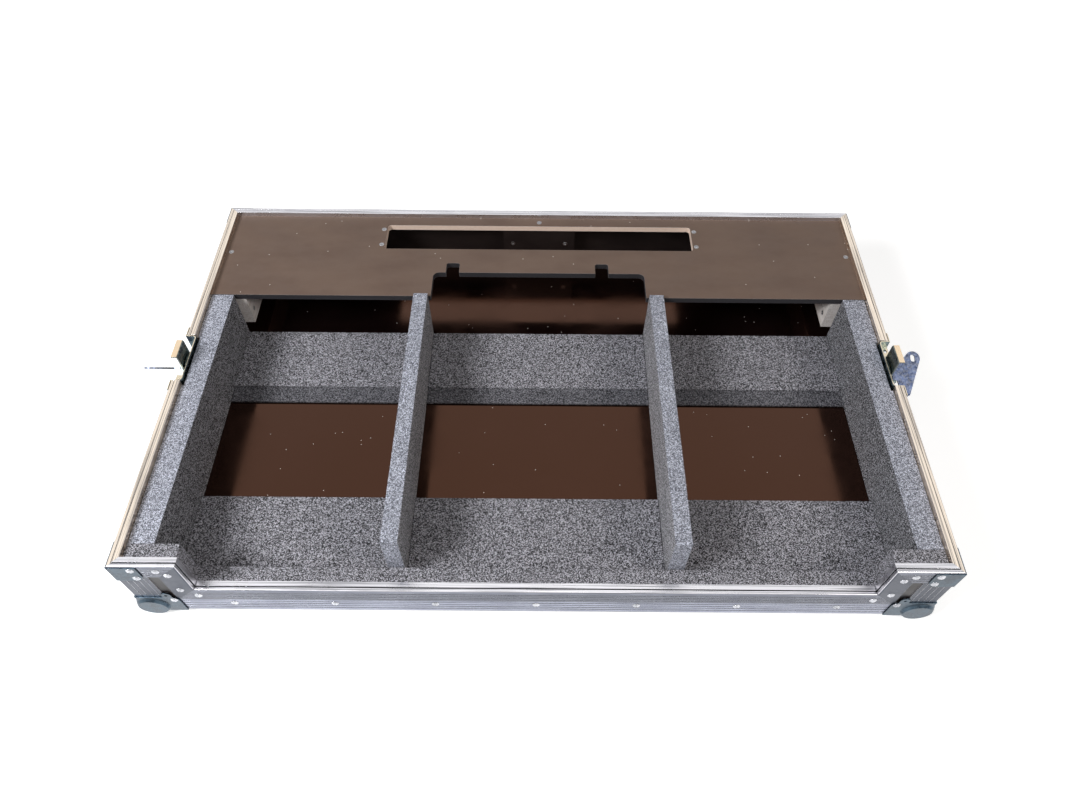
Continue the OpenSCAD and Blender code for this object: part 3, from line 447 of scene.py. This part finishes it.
wall_film = film_board(
    "wall_film", (0.010, 0.007, 0.007), (0.022, 0.015, 0.013), 0.34, 0.0,
    Specular_IOR_Level=0.35)
floor_film = film_board(
    "floor_film", (0.003, 0.0015, 0.0015), (0.006, 0.003, 0.003), 0.10, 0.03,
    Specular_IOR_Level=0.85, Specular_Tint=resin_tint)
finish_nodes(["front_panel", "rear_panel", "left_panel", "right_panel", "shelf_centre_block"],
             wall_film)
finish_nodes(["floor_panel"], floor_film)

# %% [markdown]
# The shelf is one board with three kinds of surface. Its faces are rubbed film, its front edge is
# painted, and the long slot was cut later and shows raw birch. Splitting the mesh would work, but
# the place and the direction of a face already tell them apart: a side face behind the cut-out's
# notches belongs to the slot.

# %% The shelf
shelf_low, shelf_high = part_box("rear_shelf")
side_below = 0.5
slot_from_y = 210 * mm
slot_half = 245 * mm
ply_count = 7
# The shelf's tones are far lighter than the other film: partly satin wear, partly painted sheen.
film_dark, film_light = (0.120, 0.076, 0.056), (0.155, 0.104, 0.078)
film_rubbed, film_scratch = (0.175, 0.125, 0.098), (0.095, 0.062, 0.048)
shelf_crumb, edge_paint, chipped_and_edge_highlight = (0.6, 0.55, 0.5), (0.028, 0.027, 0.031), (0.50, 0.46, 0.45)
birch_pale, birch_dark, birch_fibre = (0.93, 0.78, 0.68), (0.80, 0.60, 0.48), (0.66, 0.46, 0.35)

shelf_film, tree, shader = new_material("shelf_film", Specular_IOR_Level=0.35)
patches = clouds(tree, 80.0, (1.0, 1.8, 1.8))
rubs = clouds(tree, 22.0, (0.5, 1.0, 1.0))
scratches = drawn_lines(tree, 1.2, (0.12, 1.0, 1.0))
specks = use_group(tree, specks_group, Spacing=16.0, Share=0.05, Dot_Size=0.05)["Mask"]
face_colour = blend(tree, patches, film_dark, film_light)
face_colour = tint(tree, face_colour, rubs, 0.30, film_rubbed)
face_colour = tint(tree, face_colour, scratches, 0.25, film_scratch)
face_colour = blend(tree, specks, face_colour, shelf_crumb)

point = axes(tree, place(tree))
facing = axes(tree, put(tree, "ShaderNodeNewGeometry").outputs["True Normal"])
is_side = calc(tree, "LESS_THAN", calc(tree, "ABSOLUTE", facing[2]), side_below)
behind = calc(tree, "GREATER_THAN", point[1], slot_from_y)
inside = calc(tree, "LESS_THAN", calc(tree, "ABSOLUTE", point[0]), slot_half)
in_slot = calc(tree, "MULTIPLY", behind, inside)

height = calc(tree, "SUBTRACT", point[2], shelf_low.z)
level = calc(tree, "DIVIDE", height, shelf_high.z - shelf_low.z)
ply = calc(tree, "FRACT", calc(tree, "MULTIPLY", level, ply_count / 2))
end_grain = calc(tree, "GREATER_THAN", ply, 0.5)
fibres = clouds(tree, 3.0, (0.6, 0.6, 2.0))
birch = blend(tree, end_grain, birch_pale, birch_dark)
birch = tint(tree, birch, fibres, 0.3, birch_fibre)
edge_colour = blend(tree, in_slot, edge_paint, birch)

# Lighter edges: chipped film and a painted highlight along them.
wear_and_highlight = use_group(tree, edges_group, Radius=0.6)
whole = blend(tree, is_side, face_colour, edge_colour)
fill(tree, shader["Base Color"], tint(tree, whole, wear_and_highlight["Mask"], 0.6, chipped_and_edge_highlight))
roughen(tree, shader, patches, 0.46, 0.60)
relief(tree, shader, scratches, 0.12, 0.2, wear_and_highlight["Normal"])
finish_nodes(["rear_shelf"], shelf_film)

# %% [markdown]
# ### Timber
#
# The battens under the shelf and the floor are raw pine, sawn and gone grey. Rings of growth show
# as long streaks, so a Wave texture that is bent by noise would do, but the drawn lines group with
# a wide line gives the same streaks and keeps the recipe short.

# %% Timber
pine, pine_ring, weathered = (0.82, 0.77, 0.74), (0.60, 0.53, 0.48), (0.72, 0.71, 0.70)

timber, tree, shader = new_material("timber", Specular_IOR_Level=0.3)
streaks = drawn_lines(tree, 2.4, (1.0, 0.06, 1.0))
wood = blend(tree, remap(tree, streaks, 0.35, 0.65), pine, pine_ring)
wood = tint(tree, wood, clouds(tree, 30.0, (1.0, 0.5, 1.0)), 0.4, weathered)
fill(tree, shader["Base Color"], wood)
fill(tree, shader["Roughness"], remap(tree, streaks, 0.3, 0.7, 0.6, 0.8))
relief(tree, shader, streaks, 0.4, 0.3)
finish_nodes(["floor_battens", "shelf_batten_left", "shelf_batten_right"], timber)

# %% [markdown]
# ### Aluminium rails
#
# The rails are bare extruded aluminium. Their drawn lines run lengthwise and spread each
# reflection across the rail, which is why a rail looks striped. Anisotropic shading can fake that.
# Here the lines are a real bump and a change of tone with their own direction, so there is one
# material for each way that a piece runs. The change of tone is painted light and shade along the
# stripes, and each material's upright tone is a painted reflection of what faces in its direction
# see. The angles round the bottom at the front and the rear get a paler tone, a painted reflection
# of the pale floor, so they have a material of their own. The crowns carry a painted highlight,
# partly rubbed bright, and those of the side rails a painted cream reflection of the warm walls
# beside them.

# %% Aluminium rails
metal_in_shade = (0.06, 0.065, 0.085)
groove_shade = (0.03, 0.033, 0.043)
edge_wear_and_highlight = (0.74, 0.75, 0.78)


def darker(colour, share):
    """A colour with each channel times share."""
    return tuple(share * channel for channel in colour)


def drawn_aluminium(name, stretch, crown_highlight, light):
    """Bare extrusion with lines along the axis that stretch squeezes, and a crown with a painted
    highlight, partly rubbed bright. Upright faces have the tone light, a painted reflection, and
    the
    rest is worked out from these two: painted shade where faces look down, painted light where they
    look up."""
    material, tree, shader = new_material(name, Metallic=1.0)
    bands = drawn_lines(tree, 1.5, stretch)
    patches = clouds(tree, 35.0)
    edge = use_group(tree, edges_group, Radius=0.35)
    # The ramp paints light and shade by facing: painted shade where faces look down, painted light
    # on the upper side of the grooves, a painted highlight on the crown.
    metal = ramp(tree, use_group(tree, up_group)["Value"], [
        (0.05, metal_in_shade), (0.44, darker(light, 0.24)), (0.50, light),
        (0.62, darker(light, 1.7)), (0.90, darker(crown_highlight, 0.45)), (0.985, crown_highlight)])
    # A copy of the metal turned towards the painted shade colour; the bands below paint the
    # stripes' light and shade with it.
    shaded_metal = blend(tree, 0.62, metal, metal_in_shade)
    metal = blend(tree, remap(tree, bands, 0.36, 0.56), shaded_metal, metal)
    metal = tint(tree, metal, patches, 0.2, shaded_metal)
    # Painted shade down in the grooves.
    metal = blend(tree, use_group(tree, grooves_group)["Value"], groove_shade, metal)
    # A painted reflection of the room on the inner lips.
    metal = blend(tree, use_group(tree, in_group)["Mask"], metal, darker(crown_highlight, 0.85))
    # Lighter edges: rubbed metal and a painted highlight.
    fill(tree, shader["Base Color"], tint(tree, metal, edge["Mask"], 0.5, edge_wear_and_highlight))
    roughen(tree, shader, patches, 0.24, 0.38)
    relief(tree, shader, drawn_lines(tree, 0.6, stretch), 0.25, 0.05, edge["Normal"])
    return material


squeeze_x, squeeze_y, squeeze_z = (0.01, 1.0, 1.0), (1.0, 0.01, 1.0), (1.0, 1.0, 0.01)
# Painted highlights for the crowns, partly rubbed metal; the cream one is also a painted reflection
# of the warm walls.
cool_crown_highlight, cream_crown_reflection = (0.82, 0.81, 0.85), (0.97, 0.85, 0.72)
# The last colour of each is a painted reflection on its upright faces; the bottom angles' is paler,
# from the pale floor.
alu_along_x = drawn_aluminium("alu_along_x", squeeze_x, cool_crown_highlight, (0.155, 0.165, 0.205))
alu_bottom_x = drawn_aluminium("alu_bottom_x", squeeze_x, cool_crown_highlight, (0.33, 0.35, 0.44))
alu_along_y = drawn_aluminium("alu_along_y", squeeze_y, cream_crown_reflection, (0.26, 0.26, 0.29))
alu_upright = drawn_aluminium("alu_upright", squeeze_z, cool_crown_highlight, (0.06, 0.068, 0.09))
corner_angles = [name for name in nodes if name.startswith("corner_angle")]
finish_nodes(["rear_rail", "front_rail_left", "front_rail_right", "low_front_rail"], alu_along_x)
finish_nodes(["bottom_angle_front", "bottom_angle_rear"], alu_bottom_x)
finish_nodes(["left_rail", "right_rail", "bottom_angle_left", "bottom_angle_right"], alu_along_y)
finish_nodes(["notch_rail_left", "notch_rail_right"] + corner_angles, alu_upright)

# %% [markdown]
# ### Plated steel
#
# Ball corners, braces and latches are pressed steel with a blue-white zinc plating. The plating is
# cloudy, slightly blue, and brighter along its edges, partly rubbed and partly a painted highlight.
# The hook plates and the wings have a darker passivation, grey-green and blue. The latch dishes and
# the hook lips carry a painted highlight on top. One function makes them all, with other colours.

# %% Plated steel
def plated_steel(name, shadow, light, wear_and_highlight, roughness, patch=12.0, crown_highlight=None, edge_rub_and_highlight=0.6):
    """Plating between two cloudy tones, lighter along its edges, partly rubbed and partly a painted
    highlight, and with crown_highlight a painted highlight on top.
    """
    material, tree, shader = new_material(name, Metallic=1.0)
    patches = clouds(tree, patch)
    fine = clouds(tree, 2.5)
    edge = use_group(tree, edges_group, Radius=0.5)
    metal = blend(tree, patches, shadow, light)
    metal = tint(tree, metal, fine, 0.2, wear_and_highlight)
    # Lighter edges: rubbed plating and a painted highlight, by the share given.
    metal = tint(tree, metal, edge["Mask"], edge_rub_and_highlight, wear_and_highlight)
    # A painted highlight on the faces that look up.
    if crown_highlight:
        facing = use_group(tree, up_group)["Value"]
        metal = blend(tree, remap(tree, facing, 0.93, 0.99), metal, crown_highlight)
    fill(tree, shader["Base Color"], metal)
    roughen(tree, shader, patches, roughness, roughness + 0.12)
    relief(tree, shader, fine, 0.12, 0.1, edge["Normal"])
    return material


zinc = plated_steel(
    "zinc", (0.015, 0.025, 0.04), (0.065, 0.098, 0.13), (0.19, 0.24, 0.28), 0.24)
# The crown of the latch dish is a painted highlight on its top edges.
latch_zinc = plated_steel(
    "latch_zinc", (0.07, 0.105, 0.11), (0.20, 0.27, 0.285), (0.50, 0.55, 0.54), 0.20,
    patch=9.0, crown_highlight=(0.78, 0.68, 0.52))
drum_zinc = plated_steel(
    "drum_zinc", (0.015, 0.03, 0.03), (0.16, 0.22, 0.22), (0.55, 0.60, 0.60), 0.20, patch=4.0)
# The crown of the hook is a painted highlight on its bent lip.
blued = plated_steel(
    "blued", (0.025, 0.035, 0.035), (0.12, 0.155, 0.16), (0.45, 0.42, 0.36), 0.24,
    patch=7.0, crown_highlight=(0.86, 0.68, 0.48))
# The wing's edges get the most of it: a painted highlight on its rim, partly rubbed plating.
blue_zinc = plated_steel(
    "blue_zinc", (0.03, 0.045, 0.10), (0.10, 0.14, 0.27), (0.80, 0.80, 0.78), 0.25,
    patch=7.0, edge_rub_and_highlight=0.9)
screw_steel = plated_steel(
    "screw_steel", (0.22, 0.22, 0.23), (0.36, 0.36, 0.38), (0.66, 0.66, 0.68), 0.32)
ball_corners = [name for name in nodes if name.startswith("ball_corner")]
finish_nodes(ball_corners + ["corner_braces"], zinc)
for piece, material in (("latch_dish", latch_zinc), ("latch_drum", drum_zinc),
                        ("latch_hook", blued), ("latch_wing", blue_zinc)):
    finish_nodes([piece + "_left", piece + "_right"], material)
finish_nodes(["shelf_screws", "batten_screws", "floor_screws", "foot_screws",
              "latch_pin_left", "latch_pin_right"], screw_steel)

# %% [markdown]
# ### Rivets, brass and rubber
#
# Blind rivets have a bright, slightly hammered dome. The followers in the latches are turned brass.
# The feet are matt black rubber, dusty where they have stood on floors.

# %% Rivets, brass and rubber
rivet_metal = plated_steel(
    "rivet_metal", (0.26, 0.27, 0.30), (0.66, 0.67, 0.71), (0.80, 0.80, 0.82), 0.16)
brass = plated_steel(
    "brass", (0.62, 0.40, 0.10), (0.86, 0.60, 0.20), (0.95, 0.78, 0.42), 0.20)
finish_nodes(["frame_rivets", "corner_rivets", "latch_rivets"], rivet_metal)
finish_nodes(["latch_follower_left", "latch_follower_right"], brass)

rubber_black, rubber_dusty = (0.018, 0.018, 0.018), (0.05, 0.048, 0.045)
rubber, tree, shader = new_material("rubber", Specular_IOR_Level=0.3)
patches = clouds(tree, 6.0)
fill(tree, shader["Base Color"], blend(tree, patches, rubber_black, rubber_dusty))
roughen(tree, shader, patches, 0.65, 0.85)
finish_nodes(["rubber_feet"], rubber)

# %% [markdown]
# ## Foam
#
# The blocks are cut from sheets of closed-cell foam. A sheet's own faces have coarser bubbles than
# a sawn face, and on each piece the two kinds differ in tone. So each material is told which way
# its sheet's faces point, and which tones it has there and elsewhere. The tones are also chosen so
# that each block's top comes out lighter than its sides: painted light on the tops and painted
# shade on the sides, on top of the real difference between sheet and sawn faces.

# %% The foam's finish
sheet_cell, sawn_cell = 1.05, 0.9
sawn_height = 0.6
sheet_from = 0.7
foam_dust, step_shade = (0.12, 0.12, 0.13), (0.02, 0.02, 0.025)


def foam_finish(name, sheet_axis, sheet_tones, cut_tones, step_below=None):
    """Foam whose sheet faces point along sheet_axis (0, 1 or 2), with sawn faces elsewhere.
    Below the height step_below the foam is darkened, painted shade on the step that was cut down."""
    material, tree, shader = new_material(name, Specular_IOR_Level=0.2)
    facing = axes(tree, put(tree, "ShaderNodeNewGeometry").outputs["True Normal"])[sheet_axis]
    is_sheet = calc(tree, "GREATER_THAN", calc(tree, "ABSOLUTE", facing), sheet_from)
    sheet, sawn = [use_group(tree, cells_group, Cell_Size=size, Dark=dark, Light=light)
                   for size, (dark, light) in ((sheet_cell, sheet_tones), (sawn_cell, cut_tones))]
    patches = clouds(tree, 45.0)
    foam = blend(tree, is_sheet, sawn["Color"], sheet["Color"])
    foam = tint(tree, foam, patches, 0.15, foam_dust)
    if step_below:
        # Painted shade on the foam below the top of the step.
        is_step = calc(tree, "LESS_THAN", axes(tree, place(tree))[2], step_below)
        foam = tint(tree, foam, is_step, 0.55, step_shade)
    fill(tree, shader["Base Color"], foam)
    roughen(tree, shader, patches, 0.72, 0.86)
    height = calc(tree, "MULTIPLY", sheet["Height"], is_sheet)
    relief(tree, shader, add_share(tree, height, sawn["Height"], sawn_height), 0.5, 0.35)
    return material


# Each block's top gets the lighter pair and its sides the darker one: painted light and shade,
# besides the sheet and sawn difference.
pale_tones = ((0.11, 0.115, 0.14), (0.84, 0.87, 1.0))
grey_tones = ((0.018, 0.018, 0.019), (0.66, 0.65, 0.72))
mid_tones = ((0.03, 0.03, 0.032), (0.76, 0.75, 0.80))
dark_tones = ((0.0, 0.0, 0.0), (0.60, 0.60, 0.65))
foam_side = foam_finish("foam_side", 0, dark_tones, pale_tones)
foam_divider = foam_finish("foam_divider", 0, mid_tones, pale_tones)
foam_front = foam_finish("foam_front", 1, dark_tones, grey_tones)
foam_flat = foam_finish("foam_flat", 2, grey_tones, dark_tones)
foam_stepped = foam_finish("foam_stepped", 2, grey_tones, dark_tones,
                           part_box("rear_ledge_foam")[1].z - 3 * mm)
print("foam finishes ready")

# %% [markdown]
# A foam block is a prism: an outline with a thickness. A plain prism looks like plastic, because
# its edges are perfectly sharp and its faces perfectly flat. So the edges get a small bevel, the
# faces are sliced into a grid of a few millimetres, and each point moves by a fraction of a
# millimetre along its normal, as a knife that wanders through soft stuff would leave it. The
# moves come from a noise that depends only on the place, so every run gives the same foam.

# %% Foam blocks
edge_soft = 0.9 * mm
slice_step = 6 * mm
wander = 0.22 * mm
long_wave, short_wave, short_share = 28 * mm, 7 * mm, 0.4


def slice_across(mesh, axis):
    """Cuts a mesh into even slices across an axis, about slice_step thick."""
    places = [v.co[axis] for v in mesh.verts]
    start, length = min(places), max(places) - min(places)
    count = int(length / slice_step)
    for i in range(1, count):
        spot, normal = Vector((0.0, 0.0, 0.0)), Vector((0.0, 0.0, 0.0))
        spot[axis], normal[axis] = start + length * i / count, 1.0
        bmesh.ops.bisect_plane(mesh, geom=mesh.verts[:] + mesh.edges[:] + mesh.faces[:],
                               plane_co=spot, plane_no=normal, dist=1e-6)


def foam_block(name, outline, axis, low, high, material, replaced):
    """A prism of foam. outline lies in the plane across axis, and low..high is its extent
    along axis. replaced names the CAD node that it stands for, if any."""
    across = [a for a in range(3) if a != axis]
    mesh = bmesh.new()
    corners = []
    for u, v in outline:
        corner = [0.0, 0.0, 0.0]
        corner[across[0]], corner[across[1]], corner[axis] = u, v, low
        corners.append(mesh.verts.new(corner))
    base = mesh.faces.new(corners)
    lifted = bmesh.ops.extrude_face_region(mesh, geom=[base])["geom"]
    travel = Vector((0.0, 0.0, 0.0))
    travel[axis] = high - low
    bmesh.ops.translate(mesh, vec=travel,
                        verts=[g for g in lifted if isinstance(g, bmesh.types.BMVert)])
    bmesh.ops.bevel(mesh, geom=mesh.edges[:], offset=edge_soft, segments=2, profile=0.5,
                    affect="EDGES")
    bmesh.ops.recalc_face_normals(mesh, faces=mesh.faces[:])
    for a in range(3):
        slice_across(mesh, a)
    mesh.normal_update()
    for v in mesh.verts:
        drift = noise.noise(v.co / long_wave) + short_share * noise.noise(v.co / short_wave)
        v.co -= v.normal * wander * (0.5 + 0.5 * drift)
    data = bpy.data.meshes.new(name)
    mesh.to_mesh(data)
    mesh.free()
    piece = bpy.data.objects.new(name, data)
    bpy.context.scene.collection.objects.link(piece)
    data.materials.append(material)
    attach(piece, "base")
    if replaced:
        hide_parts(replaced)
    print(name, "has", len(data.polygons), "faces")


def box_outline(low, high):
    """The four corners between two points of a plane."""
    return [(low[0], low[1]), (high[0], low[1]), (high[0], high[1]), (low[0], high[1])]


# %% [markdown]
# The side blocks run from the front lining to the shelf. Behind each latch a shallow bite is
# taken out of the foam's outer face, so that the latch's steel dish has room. It shows from above
# as a dark gap.

# %% The side foam and the dividers
bite_half = 42.5 * mm
bite_depth = 3 * mm
for side, sign in (("left", -1), ("right", 1)):
    low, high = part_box("side_foam_" + side)
    inner, outer = (high.x, low.x) if sign < 0 else (low.x, high.x)
    bitten = outer - sign * bite_depth
    outline = [(inner, low.y), (outer, low.y), (outer, -bite_half), (bitten, -bite_half),
               (bitten, bite_half), (outer, bite_half), (outer, high.y), (inner, high.y)]
    foam_block("side_foam_block_" + side, outline, 2, low.z, high.z, foam_side,
               "side_foam_" + side)
    low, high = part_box("divider_foam_" + side)
    foam_block("divider_block_" + side, box_outline(low, high), 2, low.z, high.z, foam_divider,
               "divider_foam_" + side)

# %% [markdown]
# The front lining is one long sheet with its middle cut down to the height of the low front.

# %% The front lining
below_low_rail = 2 * mm
beside_notch_rail = 4 * mm
low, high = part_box("front_foam_lining")
low_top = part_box("low_front_rail")[1].z - below_low_rail
step_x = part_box("notch_rail_right")[0].x + beside_notch_rail
outline = [(low.x, low.z), (high.x, low.z), (high.x, high.z), (step_x, high.z),
           (step_x, low_top), (-step_x, low_top), (-step_x, high.z), (low.x, high.z)]
foam_block("front_lining_sheet", outline, 1, low.y, high.y, foam_front, "front_foam_lining")

# %% [markdown]
# Strips lie across the floor of each bay, one at the front and one at the rear. The rear ones are
# cut down along their front edge, and the foam below their top is darkened with painted shade,
# which shows as a darker band.

# %% The strips on the floor
gap = 0.3 * mm
rebate_depth = 25 * mm
rebate_drop = 4 * mm
left_divider, right_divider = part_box("divider_foam_left"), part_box("divider_foam_right")
bays = {
    "left": (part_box("side_foam_left")[1].x + gap, left_divider[0].x - gap),
    "middle": (left_divider[1].x + gap, right_divider[0].x - gap),
    "right": (right_divider[1].x + gap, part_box("side_foam_right")[0].x - gap),
}
for bay, (from_x, to_x) in bays.items():
    low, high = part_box("front_ledge_foam")
    foam_block("front_strip_" + bay, box_outline((from_x, low.y), (to_x, high.y)), 2, low.z, high.z,
               foam_flat, "front_ledge_foam" if bay == "middle" else None)
    low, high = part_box("rear_ledge_foam")
    outline = [(low.y, low.z), (high.y, low.z), (high.y, high.z), (low.y + rebate_depth, high.z),
               (low.y + rebate_depth, high.z - rebate_drop), (low.y, high.z - rebate_drop)]
    foam_block("rear_strip_" + bay, outline, 0, from_x, to_x,
               foam_stepped, "rear_ledge_foam" if bay == "middle" else None)

# %% [markdown]
# ## Floor, light and picture settings
#
# The object stands on a pale floor that runs on without a visible end. A plain diffuse plane under
# soft light never reaches pure white, and more light would burn out the metal. So the floor and
# the world add a little of their own light, but only for rays that come from the camera or from a
# reflection. The shadow of the case stays, because it comes from the diffuse share. The lamps fade
# with distance, so the floor's own light grows with distance until the floor meets the white world.

# %% The floor
def seen_directly(tree):
    """1 for rays from the camera, from a reflection or through glass, else 0."""
    path = put(tree, "ShaderNodeLightPath").outputs
    seen = calc(tree, "MAXIMUM", path["Is Camera Ray"], path["Is Glossy Ray"])
    return calc(tree, "MAXIMUM", seen, path["Is Transmission Ray"])


floor_half = 12.0
near_edge, far_edge = 0.9, 3.5
light_near, light_far = 0.6, 1.0
floor_paint, tree, shader = new_material(
    "floor_paint", Roughness=0.9, Specular_IOR_Level=0.0,
    Base_Color=(0.88, 0.88, 0.88), Emission_Color=(1, 1, 1))
away = vector_calc(tree, "LENGTH", place(tree))
own_light = remap(tree, away, near_edge, far_edge, light_near, light_far)
fill(tree, shader["Emission Strength"], calc(tree, "MULTIPLY", seen_directly(tree), own_light))
floor_mesh = bpy.data.meshes.new("studio_floor")
corners = box_outline((-floor_half, -floor_half), (floor_half, floor_half))
floor_mesh.from_pydata([(x, y, 0) for x, y in corners], [], [(0, 1, 2, 3)])
floor_mesh.materials.append(floor_paint)
studio_floor = bpy.data.objects.new("studio_floor", floor_mesh)
bpy.context.scene.collection.objects.link(studio_floor)
studio_floor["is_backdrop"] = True
print("floor laid")

# %% [markdown]
# The photograph has soft light from above, stronger from the left: each bay is darkest beside the
# wall on its left, and a little dark at its right end. One lamp overhead would light every bay
# evenly, so two wide lamps stand high at the front left and the front right, the left one brighter,
# and a weak one hangs over the case. The world fills the rest.

# %% The lamps and the world
def soft_lamp(name, where, size, power, colour):
    """A square area lamp that points at the middle of the case."""
    data = bpy.data.lights.new(name, "AREA")
    data.size, data.energy, data.color = size, power, colour
    lamp = bpy.data.objects.new(name, data)
    lamp.location = where
    lamp.rotation_mode = "QUATERNION"
    lamp.rotation_quaternion = (-Vector(where)).to_track_quat("-Z", "Y")
    bpy.context.scene.collection.objects.link(lamp)


soft_lamp("from_left", (-1.6, -0.9, 1.7), 0.8, 52, (0.98, 0.99, 1.0))
soft_lamp("from_right", (1.6, -0.9, 1.7), 0.8, 17, (1.0, 0.95, 0.89))
soft_lamp("overhead", (0.0, -0.3, 2.3), 1.2, 5, (1.0, 0.99, 0.97))

world = bpy.data.worlds.new("studio")
bpy.context.scene.world = world
world.use_nodes = True
tree = world.node_tree
tree.nodes.clear()
ambient = put(tree, "ShaderNodeBackground", {"Color": (0.92, 0.95, 1.0), "Strength": 0.10})
backdrop = put(tree, "ShaderNodeBackground", {"Color": (1, 1, 1), "Strength": 1.0})
mixed = put(tree, "ShaderNodeMixShader",
            {0: seen_directly(tree), 1: ambient.outputs[0], 2: backdrop.outputs[0]})
put(tree, "ShaderNodeOutputWorld", {0: mixed.outputs[0]})
bpy.context.scene.view_settings.view_transform = "Standard"
print("lamps set")

# %% [markdown]
# ## Finish
#
# The dressed object has to keep the size of its frame, so its size is printed.

# %% Finish
low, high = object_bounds()
print("visual size:", [round(s, 4) for s in high - low])
